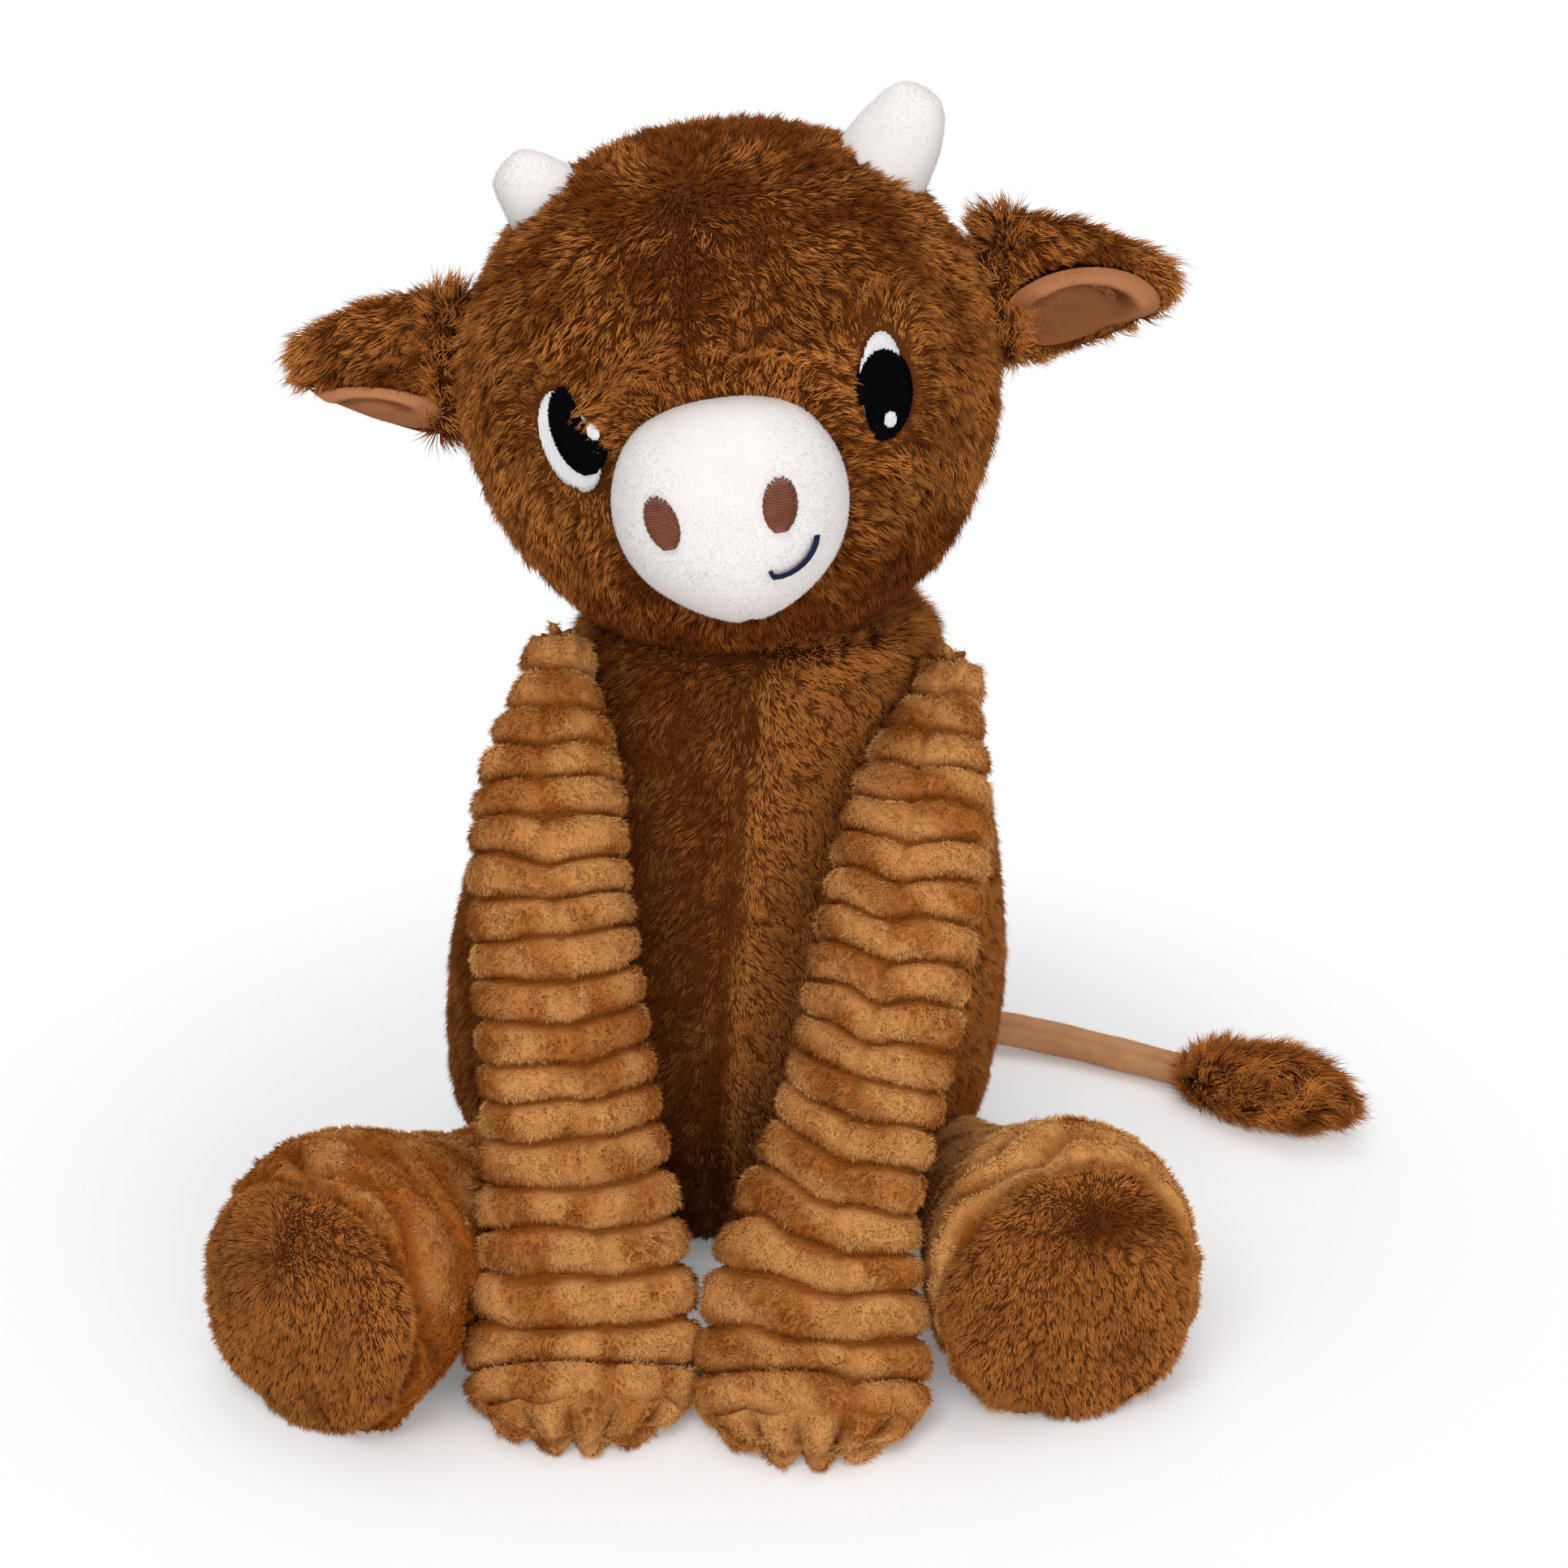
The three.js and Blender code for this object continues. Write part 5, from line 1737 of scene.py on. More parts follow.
            # The marks paint light on the roll and shade in the slit, and are a little lower on the lower
            # side.
            marks.append(np.clip(0.5 + 0.4 * roll - 0.75 * slit - 0.12 * (1 - upper), 0, 1))
        rings.append(rings[-1] * np.array([0.2, 1.0, 0.2]) + rings[-1].mean(0) * np.array([0.8, 0.0, 0.8]))
        rings[-1][:, 1] = rings[-2][:, 1].max() + 1.0
        return np.stack(rings), np.stack([*marks, marks[-1]])

    def tip(self, points: Array) -> Array:
        """How near the ear's tip each point is, from 0 to 1."""
        root, end = self.place(np.array([[0.0, 0.0, 0.0], [self.side * self.length, 0.0, 0.0]]))
        return np.clip(((points - root) @ unit(end - root) / self.length - 0.66) / 0.3, 0, 1)

    def scale(self, roots: Roots) -> Array:
        """None under the lining, and longer towards the tip."""
        return roots.marks * (1 + 0.35 * self.tip(roots.points))

    def shade(self, roots: Roots) -> Array:
        """Paler towards the tip."""
        return 0.6 * self.tip(roots.points)

    def lining_shade(self, roots: Roots) -> Array:
        """Painted highlight on the lining's roll and painted shade deep in its slit, shifted by the ear's
        pale offset.
        """
        return self.pale + 0.9 * (roots.marks - 0.5)

    def build(self) -> None:
        """Makes the leaf, its fur and its lining."""
        word, body = self.side.word, f"ear_{self.side.word}"
        leaf = self.leaf_cloth()
        settle([leaf.cover(f"ear_cover_{word}")], body, "brown_fur", FUR_BACKING, f"ear_{word}")
        nap = straight((self.side * 0.9, 0.0, -0.75))
        coat = Coat(leaf, nap, self.scale, self.shade)
        pile = self.fur.grow(f"ear_fur_{word}", coat, 60 + self.side)
        settle(pile, body, "brown_fur", FUR)
        base = Cloth(self.place(self.root()))
        settle([base.cover(f"ear_root_{word}")], body, "brown_fur", FUR_BACKING)
        upward = self.form.turn() @ np.array([self.side * -0.7, -0.2, 0.7])
        coat, clumps = Coat(base, straight(upward)), Clumps(base, 4.5, 5)
        tufts = grow(f"ear_tufts_{word}", coat, self.tufts, 70 + self.side, clumps)
        settle(tufts, body, "brown_fur", FUR)
        rings, marks = self.lining()
        cloth = Cloth(self.place(rings), marks)
        lining = cloth.shaded_cover(f"ear_lining_cover_{word}", 0.5 + self.lining_shade(cloth.roots()))
        settle([lining], body, "tan_plush", EAR_NAP, node=f"ear_lining_{word}")
        coat = Coat(cloth, nap, shade=self.lining_shade)
        short = grow(f"ear_lining_nap_{word}", coat, self.nap_short, 64 + self.side)
        settle(short, body, "tan_plush", EAR_NAP)
        LOG.info("ear %s: cover, fur and lining", word)


def square_to(heading: Array) -> tuple[Array, Array]:
    """The level direction and the upward direction square to each heading."""
    side = unit(np.cross(heading, UP))
    return side, unit(np.cross(side, heading))


def cross_rings(centre: Array, heading: Array, wide: Array, thick: Array, turn: Array) -> tuple[Array, Array]:
    """Rings square to a course, level across it.

    Args:
        centre: The rings' middles.
        heading: The course's direction at each.
        wide: The half width, for each ring or each point of it.
        thick: The half thickness, likewise.
        turn: The points' turn round a ring.

    Returns:
        The points and the outward direction at each.
    """
    side, lift = square_to(heading)
    across = side[:, None] * np.cos(turn)[None, :, None]
    upward = lift[:, None] * np.sin(turn)[None, :, None]
    rings = centre[:, None] + across * wide[..., None] + upward * thick[..., None]
    return rings, unit(across * thick[..., None] + upward * wide[..., None])


@dataclass
class Limb(ABC):
    """A limb: its course between two ends, the tufts of its nap, and how patches of it are brushed."""

    side: Side
    start: Point
    end: Point
    x_rows: Rows
    _: KW_ONLY
    y_rows: Rows
    z_rows: Rows
    pile: Pile
    seed: int
    tuft: float
    tuft_seed: int
    brush_patch: float
    brush_gain: float
    brush_sweep: float

    @abstractmethod
    def way(self) -> Array:
        """The way to the limb's end."""

    @abstractmethod
    def cloth(self) -> Cloth:
        """The skin."""

    @abstractmethod
    def scale(self, roots: Roots) -> Array:
        """The nap's share of its full length."""

    @abstractmethod
    def shade(self, roots: Roots) -> Array:
        """What is added to the nap's shade."""

    def point(self, share: Array) -> Array:
        """The course's point at each share of its length."""
        rows = zip(self.start, self.end, (self.x_rows, self.y_rows, self.z_rows))
        return np.stack([start + (end - start) * along(row, share) for start, end, row in rows], -1)

    def heading(self, share: Array) -> Array:
        """The course's direction at each share."""
        return unit(self.point(np.minimum(share + 0.01, 1)) - self.point(np.maximum(share - 0.01, 0)))

    def brush(self, roots: Roots) -> Array:
        """Which way patches of the nap are brushed, from -1 to 1."""
        waves = Waves(self.brush_patch, self.seed - 10 + self.side)
        return np.tanh(self.brush_gain * waves.value(roots.points))

    def nap(self, roots: Roots) -> Array:
        """Towards the limb's end, and across it where it is brushed."""
        way = self.way()
        return way + np.cross(roots.normals, way) * (self.brush_sweep * self.brush(roots))[:, None]

    def wear(self, kind: str, axis: Axis) -> None:
        """Makes the cover and its nap.

        Args:
            kind: What the limb's pieces, body and solid are named after.
            axis: A point and a direction, round which the nap is cut into pieces.
        """
        word, body = self.side.word, f"{kind}_{self.side.word}"
        cloth = self.cloth()
        # The cover takes the nap's shade, with its painted light and shade.
        tone = self.pile.pale[0] + self.shade(cloth.roots())
        cover = cloth.shaded_cover(f"{kind}_cover_{word}", tone)
        settle([cover], body, "ribbed_plush", RIB_NAP, f"{kind}_skin_{word}")
        coat = Coat(cloth, self.nap, self.scale, self.shade, axis)
        clumps = Clumps(cloth, self.tuft, self.tuft_seed)
        nap = grow(f"{kind}_nap_{word}", coat, self.pile, self.seed + self.side, clumps)
        settle(nap, body, "ribbed_plush", RIB_NAP)
        LOG.info("%s: cover and %d pieces of nap", body, len(nap))


@dataclass(kw_only=True)
class Arm(Limb):
    """A ribbed arm from its gathered shoulder to the scalloped hand on the floor."""

    seam_turn: Pair
    rib_dip: float
    half_width: float = 31.5
    half_thickness: float = 13.5
    ribs: int = 18
    rib_depth: float = 4.6
    floor_of_crease: float = -3.7
    hand_share: float = 0.93
    toe_share: float = 0.98
    lobes: int = 9
    lobe_depth: float = 2.7
    lobe_reach: float = 8.4
    corner: float = 9.0
    stitch_lift: float = 1.7
    stitch_radius: float = 0.22
    columns: int = 128
    steps: int = 12
    seed: int = 90
    tuft: float = 2.0
    tuft_seed: int = 6
    brush_patch: float = 17.0
    brush_gain: float = 1.6
    brush_sweep: float = 0.7
    pile: Pile = Pile(3.4, 0.44, 2.75, 0.56, (), 0.5, 0.35, 0.35, (0.5, 0.12), 13.0, 0.12)
    y_rows: Rows = (
        (0, 0), (0.13, 0.2), (0.3, 0.38), (0.48, 0.51), (0.66, 0.6), (0.84, 0.73), (0.93, 0.83), (1, 1),
    )
    z_rows: Rows = (
        (0, 0), (0.13, 0.1), (0.3, 0.24), (0.48, 0.42), (0.66, 0.62), (0.84, 0.84), (0.93, 0.96), (1, 1),
    )
    width_rows: Rows = (
        (0, 0.25), (0.06, 0.32), (0.12, 0.47), (0.22, 0.61), (0.36, 0.66), (0.55, 0.71),
        (0.7, 0.77), (0.82, 0.9), (0.9, 0.98), (0.95, 0.97), (1, 0.78),
    )
    thick_rows: Rows = (
        (0, 0.56), (0.06, 0.62), (0.14, 0.8), (0.25, 0.95), (0.5, 1), (0.8, 1), (0.92, 0.88), (0.965, 0.78),
        (1, 0.66),
    )
    end_rows: Rows = ((0.93, 0), (0.97, 0.02), (0.985, 0.1), (0.995, 0.26), (1, 0.5))

    def way(self) -> Array:
        """The way from the shoulder to the hand."""
        return unit(np.subtract(self.end, self.start))

    def from_seam(self, turn: Array, share: Array) -> Array:
        """How far round from the front seam a turn is."""
        return wrapped(turn - (self.seam_turn[0] + (self.seam_turn[1] - self.seam_turn[0]) * share))

    def dip(self, gap: Array) -> Array:
        """How far down the arm, in ribs, a rib has come at a turn from the front seam."""
        return self.rib_dip * np.exp(-np.abs(gap) / 0.5)

    def cloth(self) -> Cloth:
        """The ribbed skin, with its ribs dipping to the front seam.

        Returns:
            The skin.
        """
        share = np.concatenate([
            np.linspace(0, self.hand_share, self.ribs * self.steps + 1)[:-1],
            np.linspace(self.hand_share, 1, 30),
        ])
        turn = circle(self.columns)
        inset = self.half_thickness * along(self.end_rows, share) * (share > self.hand_share)
        wide = np.maximum(self.half_width * along(self.width_rows, share) - inset, 1.5)
        thick = np.maximum(self.half_thickness * along(self.thick_rows, share) - inset, 1.0)
        rings, out = cross_rings(self.point(share), self.heading(share), wide[:, None], thick[:, None], turn)
        gap = self.from_seam(turn[None], share[:, None])
        phase = share[:, None] / self.hand_share * self.ribs - self.dip(gap)
        wander = 0.05 * Waves(24.0, 70 + self.side).value(rings)
        off = np.abs((phase + wander + 0.5) % 1 - 0.5)
        crease = bell(off, 0.1)
        crest = 1 - 0.55 * crease - 0.45 * (1 - 2 * off) ** 2.2
        rib = fall(share, self.toe_share + 0.004, 0.006)[:, None]
        seam = bell(gap, 0.07) * np.clip(share * 12, 0, 1)[:, None]
        flat = np.hypot(self.half_width * np.sin(turn), self.half_thickness * np.cos(turn))
        round_share = (np.cumsum(flat) - flat / 2) / flat.sum()
        petal = np.sqrt(np.sin(np.pi * self.lobes * round_share) ** 2 + 0.02)
        lobe = np.minimum(petal**0.6, 1)
        hand = np.clip((share - self.toe_share + 0.004) / 0.02, 0, 1)[:, None]
        hand = hand * hand * (3 - 2 * hand)
        fold = 0.3 * bell(share - self.toe_share, 0.003)[:, None]
        top = 1.6 * np.cos(9 * turn)[None] * np.clip(1 - share / 0.05, 0, 1)[:, None]
        push = 0.7 - self.rib_depth * (1 - crest) * rib - 0.9 * seam + top
        push = np.maximum(push, self.floor_of_crease) - self.lobe_depth * (1 - lobe)[None] * hand - 2.6 * fold
        reach = self.lobe_reach * (petal - 0.55)[None] * rise(share, 0.973, 0.024)[:, None]
        reach = reach - self.corner * np.cos(turn)[None] ** 2 * rise(share, 0.9, 0.1)[:, None] ** 2
        ahead = unit(self.heading(share) * (1.0, 1.0, 0.2))
        rings = rings + out * push[:, :, None] + ahead[:, None] * reach[:, :, None]
        # The marks are low in the creases, between the hand's lobes, along the seam and at the fold: there
        # the nap is shorter, and the shade and the cover's map paint shade.
        marks = np.minimum(np.where(rib > 0, 1 - crease, 1.0), 1 - 0.4 * (1 - lobe)[None] * hand)
        return Cloth(lifted(rings, COVER_CLEAR), marks * (1 - 0.3 * seam) * (1 - 0.8 * fold))

    def creases(self) -> bpy.types.Object:
        """The stitches along each crease between ribs.

        Returns:
            The stitches as one object.
        """
        paths, turn = [], circle(240)
        for number in range(2, self.ribs):
            share = np.full(240, number / self.ribs * self.hand_share)
            share = share + self.dip(self.from_seam(turn, share)) * self.hand_share / self.ribs
            side, lift = square_to(self.heading(share))
            wide = (self.half_width * along(self.width_rows, share))[:, None]
            thick = (self.half_thickness * along(self.thick_rows, share))[:, None]
            cos, sin = np.cos(turn)[:, None], np.sin(turn)[:, None]
            out = unit(side * (thick * cos) + lift * (wide * sin))
            ring = self.point(share) + side * (wide * cos) + lift * (thick * sin)
            ring = ring + out * (self.stitch_lift - self.rib_depth)
            for start in range(0, 240, 4):
                three = slice(start, start + 3)
                paths.append(ring[three] + out[three] * [[0], [0.35], [0]])
        radii = [np.full(3, self.stitch_radius)] * len(paths)
        return tubes(f"arm_stitches_{self.side.word}", paths, radii, 4)

    def scale(self, roots: Roots) -> Array:
        """Full on the ribs and short in the creases."""
        return 0.25 + 0.75 * np.clip(roots.marks * 1.5 - 0.45, 0, 1)

    def shade(self, roots: Roots) -> Array:
        """Painted shade in the creases, between the hand's lobes, along the seam and at the fold; painted
        light and shade over patches where the nap is brushed one way and the other; paler at the hand.
        """
        hand = 0.08 * np.clip((40 - roots.points[:, 2]) / 25, 0, 1)
        return 0.3 * self.brush(roots) - 0.8 * np.clip(0.8 - roots.marks, 0, 1) + hand

    def build(self) -> None:
        """Makes the cover, its nap and the stitches in its creases."""
        self.wear("arm", (np.add(self.start, self.end) / 2, self.way()))
        settle([self.creases()], f"arm_{self.side.word}", "ribbed_plush", SEAM_THREAD)


@dataclass(kw_only=True)
class Leg(Limb):
    """A short leg with gathered folds, and the fur sole at its end."""

    turn_out: float
    tip: float
    radius: float = 27.0
    sole_radius: float = 34.0
    sole_thickness: float = 9.0
    gap: float = 0.3
    columns: int = 104
    rows: int = 90
    fold: float = 8.0
    folds: float = 5.6
    crest_lift: float = 4.8
    # Painted shading on the leg's top and on its side: light where positive, shade where negative.
    top_tone: float = 0.0
    side_tone: float = 0.0
    seed: int = 130
    tuft: float = 3.0
    tuft_seed: int = 7
    brush_patch: float = 20.0
    brush_gain: float = 1.5
    brush_sweep: float = 0.8
    pile: Pile = Pile(3.3, 0.49, 2.35, 0.58, (), 0.4, 0.35, 0.35, (0.5, 0.18), 14.0, 0.12)
    parting: Pair = (0.0, 0.6)
    sole_fur: Fur = Fur(SOLE_UNDER, SOLE_GUARD, 2.2)
    y_rows: Rows = ((0, 0), (0.35, 0.33), (0.7, 0.7), (1, 1))
    z_rows: Rows = ((0, 0), (0.35, 0.08), (0.6, 0.55), (0.8, 1.05), (0.92, 1.08), (1, 1))
    radius_rows: Rows = ((0, 0.62), (0.35, 0.7), (0.6, 0.96), (0.8, 1.18), (0.92, 1.23), (1, 1.2))
    sole_rows: Rows = ((0, 0.93), (0.25, 1), (0.7, 0.97), (0.9, 0.86), (1, 0.6))

    def way(self) -> Array:
        """The way the sole faces."""
        out, tip = math.radians(self.turn_out), math.radians(self.tip)
        return unit(np.array([self.side * math.sin(out), -math.cos(out), math.tan(tip)]))

    def cloth(self) -> Cloth:
        """The skin, in folds where it is gathered to the sole.

        Returns:
            The skin.
        """
        share = np.linspace(0, 1, self.rows)
        turn = circle(self.columns)
        level = self.heading(share)
        level[:, 2] = 0
        blend = (share * share)[:, None]
        heading = unit(level * (1 - blend) + self.way() * blend)
        radius = (self.radius * along(self.radius_rows, share))[:, None] - 0.4
        rings, out = cross_rings(self.point(share), heading, radius, radius, turn)
        seed = 100 + self.side
        wander = Waves(30.0, seed).value(rings)
        off = np.abs((share[:, None] ** 1.7 * self.folds + 0.24 * wander + 0.5) % 1 - 0.5)
        crest = 1 - 0.6 * bell(off, 0.17) - 0.4 * (1 - 2 * off) ** 2
        grow_in = np.clip(share[:, None] * 2.2 - 0.55, 0, 1)
        depth = self.fold * np.clip(0.9 + 0.4 * Waves(30.0, seed + 4).value(rings), 0.5, 1) * grow_in
        pucker = 0.8 * np.sin(19 * turn + 2 * wander) * rise(share[:, None], 0.84, 0.16)
        lift = 0.4 + self.crest_lift * grow_in - depth * (1 - crest) + pucker
        rings = rings + out * np.maximum(lift, -2.2)[:, :, None]
        # The marks are low between the folds, where the shade and the cover's map paint shade.
        return Cloth(lifted(rings, COVER_CLEAR), 1 - (1 - crest) * depth / self.fold)

    def sole_cloth(self) -> Cloth:
        """The sole: a crowned round pad, sunk where its seam pulls.

        Returns:
            The skin.
        """
        foot = self.way()
        start = self.point(np.array([1.0]))[0] + foot * self.gap
        turn = circle(self.columns)
        share = np.linspace(0, 1, 16)
        crown = np.array([[0.5, 0.45], [1.0, 0.3], [1.4, 0.15], [1.5, 0.03]])
        depth = np.concatenate([share * self.sole_thickness, self.sole_thickness + crown[:, 0]])
        wide = np.concatenate([along(self.sole_rows, share), crown[:, 1]])
        uneven = 1 + 0.035 * np.sin(3 * turn + 1.0 + self.side) + 0.02 * np.sin(7 * turn)
        radius = ((self.sole_radius * wide)[:, None] - 0.5) * uneven
        heading = np.repeat(foot[None], len(depth), 0)
        rings, _ = cross_rings(start + foot * depth[:, None], heading, radius, radius, turn)
        face = (depth > 5)[:, None, None]
        lumps = 1.2 * Waves(30.0, 110 + self.side).value(rings)
        rings = rings + foot * lumps[:, :, None] * face
        sunk = 2.6 * bell(np.linalg.norm(self.from_parting(rings), axis=-1), 7.0)
        return Cloth(lifted(rings - foot * (sunk[:, :, None] * face), COVER_CLEAR))

    def scale(self, roots: Roots) -> Array:
        """Full on the folds and short between them."""
        return 0.3 + 0.7 * np.clip(roots.marks * 1.8 - 0.72, 0, 1)

    def shade(self, roots: Roots) -> Array:
        """Painted shade between the folds; painted light and shade over patches where the nap is brushed one
        way and the other, and on the leg's top and side; darker towards the floor.

        Args:
            roots: Where the fibres stand.

        Returns:
            What is added to each shade.
        """
        low = 0.25 * np.clip(1 - roots.points[:, 2] / 50, 0, 1)
        # Painted light and shade on the leg's top and side, by the sign of each tone.
        top = np.clip(roots.normals[:, 2] * 1.4, 0, 1)
        tone = self.side_tone + (self.top_tone - self.side_tone) * top
        return 0.2 * self.brush(roots) - 1.3 * np.clip(0.88 - roots.marks, 0, 1) - low + tone

    def from_parting(self, points: Array) -> Array:
        """The way from the sole's parting to each point."""
        off = np.cross(self.way(), UP) * self.parting[0] + UP * self.parting[1]
        return points - self.end - off * self.sole_radius

    def sole_nap(self, roots: Roots) -> Array:
        """Out from a parting high on the sole, and down.

        Args:
            roots: Where the fibres stand.

        Returns:
            A direction at each.
        """
        away = self.from_parting(roots.points)
        distance = np.linalg.norm(away, axis=1)
        flow = away / np.maximum(distance, 1)[:, None]
        flow[:, 2] -= 0.6 * np.clip(distance / 20.0, 0, 1)
        return flow

    def sole_shade(self, roots: Roots) -> Array:
        """Painted shade deep in the sole's sunk parting, paler below it."""
        distance = np.linalg.norm(self.from_parting(roots.points) * (0.6, 0.6, 1.0), axis=1)
        return 0.34 - 1.0 * bell(distance, 7.0)

    def build(self) -> None:
        """Makes the leg's cover and nap, and the sole and its fur."""
        axis = (self.end, self.way())
        self.wear("leg", axis)
        word, body, sole = self.side.word, f"leg_{self.side.word}", self.sole_cloth()
        settle([sole.cover(f"sole_cover_{word}")], body, "brown_fur", FUR_BACKING, f"sole_{word}")
        coat = Coat(sole, self.sole_nap, shade=self.sole_shade, axis=axis)
        fur = self.sole_fur.grow(f"sole_fur_{word}", coat, 140 + self.side)
        settle(fur, body, "brown_fur", FUR)
        LOG.info("%s: sole and %d pieces of fur", body, len(fur))


@dataclass
class Tail:
    """A thin stuffed tube with a seam along it, and the fur tuft at its end."""

    route: tuple[Point, ...] = (
        (21.6, 52.6, 16.6), (42.0, 74.58, 12.51), (66.0, 87.98, 9.02), (92.0, 86.0, 6.99),
        (120.0, 73.99, 6.0), (146.0, 58.01, 6.0),
    )
    tuft_end: Point = (190.0, 21.98, 11.04)
    radius: float = 5.4
    root_radius: float = 6.2
    tuft_length: float = 58.0
    tuft_radius: float = 16.5
    tuft_flat: float = 0.75
    nap_short: Pile = Pile(1.4, 0.3, 2.2, 0.6, (), 0.5, 0.0, 0.4, (0.5, 0.3), 14.0)
    tuft_fur: Fur = Fur(TUFT_UNDER, TUFT_GUARD, 3.4)
    ruff: Pile = Pile(13.0, 0.44, 2.4, 0.35, (0.5,), 1.0, 0.7, 0.5, (0.62, 0.2), 12.0)
    tuft_rows: Rows = ((0, 0.36), (0.1, 0.62), (0.3, 0.92), (0.5, 1), (0.72, 0.86), (0.9, 0.5), (1, 0.16))

    def course(self, count: int) -> Array:
        """Points along the tail's smooth route.

        Args:
            count: How many points.

        Returns:
            The points.
        """
        knots = np.array(self.route)
        padded = np.concatenate([[2 * knots[0] - knots[1]], knots, [2 * knots[-1] - knots[-2]]])
        place = np.linspace(0, len(knots) - 1, count)
        i = np.clip(place.astype(int), 0, len(knots) - 2)
        t = (place - i)[:, None]
        a, b, c, d = (padded[i + k] for k in range(4))
        bend, twist = 2 * a - 5 * b + 4 * c - d, 3 * b - a - 3 * c + d
        return 0.5 * (2 * b + (c - a) * t + bend * t**2 + twist * t**3)

    def tube(self) -> Cloth:
        """The tube's skin, drawn in along its seam.

        Returns:
            The skin.
        """
        centre = self.course(90)
        turn = circle(40)
        share = np.linspace(0, 1, 90)
        radius = self.root_radius + (self.radius - self.root_radius) * share
        ends = np.sqrt(np.clip(1 - np.clip(1 - share * 14, 0, 1) ** 2, 0.02, 1))
        seam = bell(wrapped(turn - 0.7), 0.2)
        wide = (radius * ends)[:, None] * (1 - 0.16 * seam)[None] - 0.3
        rings, _ = cross_rings(centre, unit(np.gradient(centre, axis=0)), wide, wide, turn)
        lumps = 1 + 0.02 * Waves(14.0, 150).value(rings)
        rings = centre[:, None] + (rings - centre[:, None]) * lumps[:, :, None]
        return Cloth(lifted(rings, FLOOR_CLEAR))

    def tuft(self) -> Cloth:
        """The tuft's inner pad.

        Returns:
            The skin.
        """
        start = self.course(2)[-1]
        direction = unit(self.tuft_end - start)
        share = np.linspace(0, 1, 34)
        turn = circle(48)
        centre = start + direction * (share * self.tuft_length)[:, None]
        climb = self.tuft_radius * self.tuft_flat - start[2]
        centre[:, 2] = start[2] + climb * np.sin(share * np.pi / 2)
        wide = (self.tuft_radius * along(self.tuft_rows, share) * 0.86)[:, None]
        heading = np.repeat(direction[None], 34, 0)
        rings, _ = cross_rings(centre, heading, wide, wide * self.tuft_flat, turn)
        return Cloth(lifted(rings, FLOOR_CLEAR))

    def from_tuft(self, roots: Roots) -> Array:
        """How far from the tuft's beginning each root is."""
        return np.linalg.norm(roots.points - self.route[-1], axis=1)

    def collar(self, roots: Roots) -> Array:
        """Full only where the tuft begins, and short below."""
        near = bell(self.from_tuft(roots), 13.0)
        return np.where(near > 0.3, 0.5 + 0.5 * np.clip(roots.normals[:, 2] + 0.4, 0, 1), 0.0)

    def tuft_nap(self, roots: Roots) -> Array:
        """To the tip, and ragged upward where the tuft begins.

        Args:
            roots: Where the fibres stand.

        Returns:
            A direction at each.
        """
        ragged = bell(self.from_tuft(roots), 17.0)[:, None]
        tip = unit(np.subtract(self.tuft_end, self.route[-1]))
        return tip * (1 - 1.2 * ragged) + UP * 0.9 * ragged

    def build(self) -> None:
        """Makes the tube and the tuft."""
        cloth = self.tube()
        settle([cloth.cover("tail_cover")], "tail", "tan_plush", TAN_CLOTH, "tail_tube")
        along_tail = unit(np.subtract(self.tuft_end, self.route[0]))
        nap = grow("tail_nap", Coat(cloth, straight(along_tail)), self.nap_short, 151)
        settle(nap, "tail", "tan_plush", TAN_NAP)
        tuft = self.tuft()
        settle([tuft.cover("tuft_cover")], "tail", "brown_fur", FUR_BACKING, "tail_tuft")
        fur = self.tuft_fur.grow("tuft_fur", Coat(tuft, self.tuft_nap), 152)
        ruff = grow("tuft_ruff", Coat(tuft, self.tuft_nap, self.collar), self.ruff, 154, Clumps(tuft, 5.0, 8))
        settle(fur + ruff, "tail", "brown_fur", FUR)
        LOG.info("tail: tube and tuft")


@dataclass
class Inside:
    """What the skins hold: loose fibre, and the bag of pellets."""

    fillings: tuple[str, ...] = (
        "body_filling", "head_filling", "arm_filling_left", "arm_filling_right",
        "leg_filling_left", "leg_filling_right",
    )

    def dress(self) -> None:
        """Gives the hidden solids their finish."""
        finish = {name: LOOSE_FIBRE for name in self.fillings}
        finish["pellet_bag"] = PLAIN_CLOTH
        for name, look in finish.items():
            node = frame["nodes"][name]
            node.data.materials.clear()
            node.data.materials.append(look.material())
        LOG.info("inside: %d hidden solids", len(finish))


@dataclass(frozen=True)
class Lamp:
    """A square area lamp: its place and side in metres, its power in watts, and what it faces."""

    name: str
    place: Point
    side: float
    power: float
    target: Point

    def build(self) -> None:
        """Makes the lamp."""
        data = bpy.data.lights.new(self.name, "AREA")
        data.size = self.side
        data.energy = self.power
        lamp = bpy.data.objects.new(self.name, data)
        lamp.location = self.place
        lamp.rotation_euler = (Vector(self.target) - Vector(self.place)).to_track_quat("-Z", "Y").to_euler()
        bpy.context.scene.collection.objects.link(lamp)


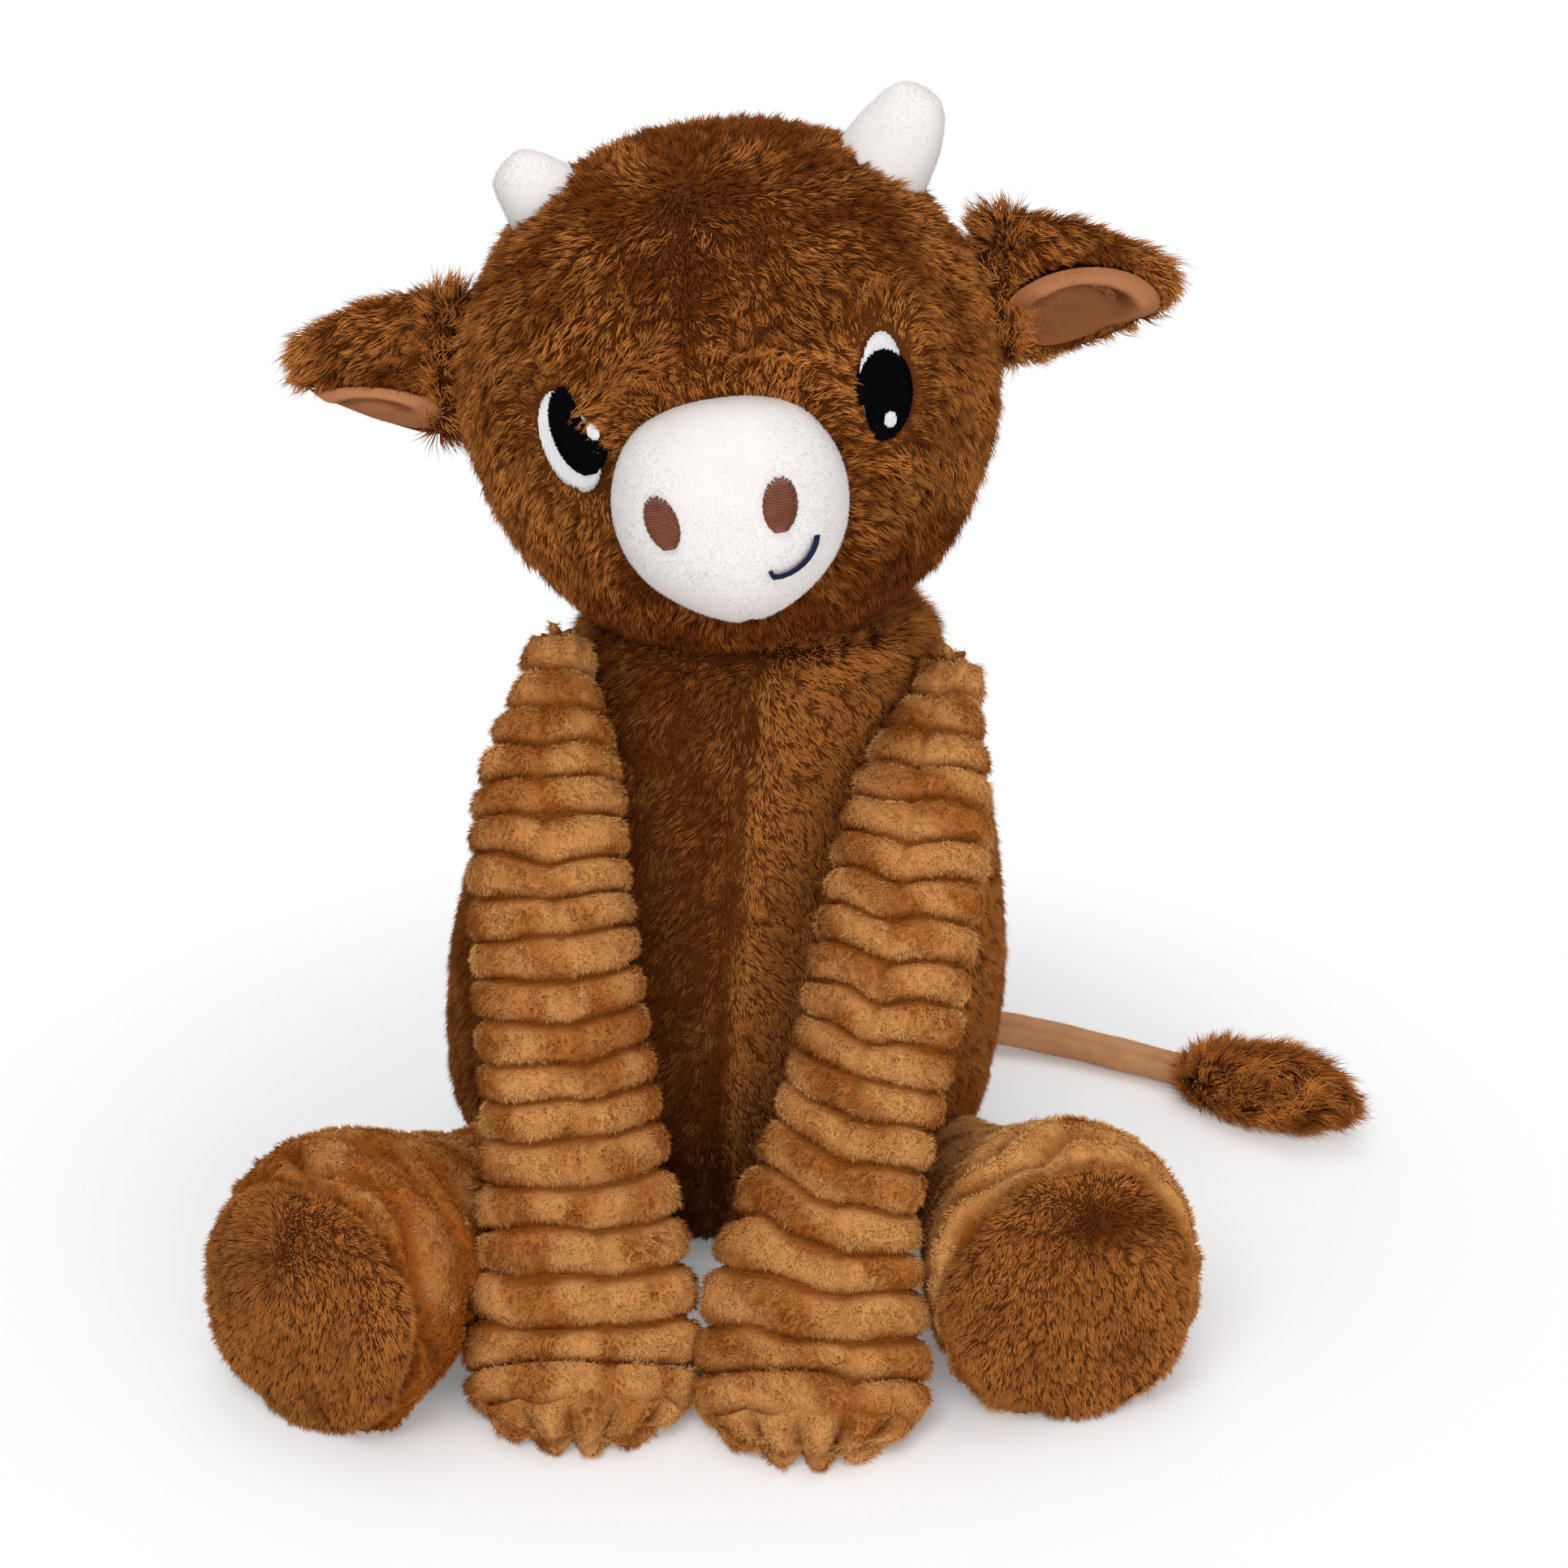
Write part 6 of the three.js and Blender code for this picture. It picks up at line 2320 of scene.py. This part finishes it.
@dataclass
class Studio:
    """A pale floor, soft lamps and the camera."""

    focal_px: float = 3830.0
    frame_px: float = 1932.0
    sensor: float = 36.0
    eye: Point = (0.015, -0.834, 0.467)
    look_down: float = 22.02
    floor_half: float = 6.0
    floor_grey: float = 0.9
    floor_glow: float = 0.17
    floor_near: float = 0.14
    floor_far: float = 0.27
    world_strength: float = 0.45
    lamps: tuple[Lamp, ...] = (
        Lamp("key", (-0.3, -0.95, 1.15), 0.8, 7.4, (0.0, 0.0, 0.15)),
        Lamp("fill", (0.5, -1.3, 0.32), 0.9, 6.5, (0.0, 0.0, 0.12)),
        Lamp("top", (0.1, 0.3, 1.3), 0.9, 3.6, (0.0, 0.0, 0.1)),
    )

    def camera(self) -> None:
        """The camera at the photograph's angle."""
        data = bpy.data.cameras.new("camera")
        data.sensor_width = self.sensor
        data.lens = self.sensor * self.focal_px / self.frame_px
        data.clip_start = 0.01
        camera = bpy.data.objects.new("camera", data)
        camera.location = self.eye
        camera.rotation_euler = (math.radians(90 - self.look_down), 0, 0)
        bpy.context.scene.collection.objects.link(camera)
        bpy.context.scene.camera = camera

    def floor(self) -> None:
        """The floor, pale and with the toy's shadow."""
        half = self.floor_half / MM
        corners = np.array([[-half, -half, 0], [half, -half, 0], [half, half, 0], [-half, half, 0]], float)
        plane = make_object("floor", corners, [np.array([[0, 1, 2, 3]])])
        material, n = new_material("floor_paper")
        grey = self.floor_grey
        place = n.add("ShaderNodeTexCoord").outputs["Object"]
        noise = n.add("ShaderNodeTexNoise", Vector=place, Scale=30.0, Detail=3.0)
        specks = n.math("MULTIPLY", noise.outputs[0], 0.04)
        colour = n.blend(specks, (grey, grey, grey * 1.01), (grey * 0.97,) * 3)
        paper = n.add("ShaderNodeBsdfDiffuse", Color=colour)
        path = n.add("ShaderNodeLightPath").outputs
        seen = n.math("MAXIMUM", path["Is Camera Ray"], path["Is Glossy Ray"])
        seen = n.math("MAXIMUM", seen, path["Is Transmission Ray"])
        glow = n.add("ShaderNodeEmission", Color=WHITE, Strength=n.math("MULTIPLY", seen, self.floor_glow))
        near = n.add("ShaderNodeAddShader")
        n.put(near.inputs[0], paper.outputs[0])
        n.put(near.inputs[1], glow.outputs[0])
        reach = n.add("ShaderNodeVectorMath", {"operation": "LENGTH"})
        n.put(reach.inputs[0], place)
        far = n.smooth(reach.outputs["Value"], self.floor_near, self.floor_far)
        white = n.add("ShaderNodeEmission", Color=WHITE, Strength=1.0)
        both = n.add("ShaderNodeMixShader", Fac=n.math("MULTIPLY", seen, far))
        n.put(both.inputs[1], near.outputs[0])
        n.put(both.inputs[2], white.outputs[0])
        n.add("ShaderNodeOutputMaterial", Surface=both.outputs[0])
        plane.data.materials.append(material)
        plane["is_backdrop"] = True

    def world(self) -> None:
        """An even pale sky, white to the camera."""
        world = bpy.data.worlds.new("studio")
        world.use_nodes = True
        n = Nodes(world.node_tree)
        path = n.add("ShaderNodeLightPath").outputs
        seen = n.math("MAXIMUM", path["Is Camera Ray"], path["Is Glossy Ray"])
        strength = n.math("ADD", n.math("MULTIPLY", seen, 1 - self.world_strength), self.world_strength)
        sky = n.add("ShaderNodeBackground", Color=WHITE, Strength=strength)
        n.add("ShaderNodeOutputWorld", Surface=sky.outputs[0])
        bpy.context.scene.world = world

    def build(self) -> None:
        """Makes it all."""
        bpy.context.scene.view_settings.view_transform = "Standard"
        self.camera()
        self.floor()
        self.world()
        for lamp in self.lamps:
            lamp.build()
        LOG.info("studio: camera, floor and lamps")


def build_limbs() -> None:
    """Makes both arms and both legs."""
    Arm(
        Side.RIGHT, (-47.04, -21.98, 181.06), (-38.0, -146.98, 4.97),
        ((0, 0), (0.3, -0.1), (0.6, 0.45), (0.8, 0.85), (1, 1)), seam_turn=(1.42, 1.82), rib_dip=0.24,
    ).build()
    Arm(
        Side.LEFT, (62.0, -21.98, 174.06), (21.44, -152.99, 4.97),
        ((0, 0), (0.15, 0.2), (0.3, 0.34), (0.6, 0.63), (0.8, 0.92), (1, 1)), seam_turn=(1.5, 1.98),
        rib_dip=0.28,
    ).build()
    Leg(
        Side.RIGHT, (-50.0, -7.99, 20.24), (-108.0, -125.99, 32.81),
        ((0, 0), (0.35, 0.36), (0.7, 0.74), (1, 1)), turn_out=34.0, tip=4.0, top_tone=-0.15,
        side_tone=-0.6, parting=(0.1, 0.3),
    ).build()
    Leg(
        Side.LEFT, (46.0, -7.99, 20.24), (90.48, -119.0, 32.81),
        ((0, 0), (0.35, 0.5), (0.7, 0.9), (1, 1)), turn_out=14.0, tip=10.0, top_tone=0.45,
        parting=(-0.25, 0.6),
    ).build()


def main() -> None:
    """Builds the studio and the toy's parts in order."""
    logging.basicConfig(level=logging.INFO, format="%(name)s: %(message)s")
    Studio().build()
    Torso().build()
    form = HeadForm()
    Head(form).build()
    Muzzle(form).build()
    Ear(form, Side.LEFT, 0.142, 49.0, 10.0).build()
    Ear(
        form, Side.RIGHT, 0.216, 44.1, -10.0, cup_rise=-0.62, cup_half=0.4, cup_depth=0.1, bare_edge=0.55,
        roll=2.5, pale=0.45,
    ).build()
    build_limbs()
    Tail().build()
    Inside().dress()


if __name__ == "__main__":
    main()
    VISUAL_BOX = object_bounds()
    boxes = {"cad": CAD_BOX, "visual": VISUAL_BOX}
    {name: [list(corner) for corner in box] for name, box in boxes.items()}
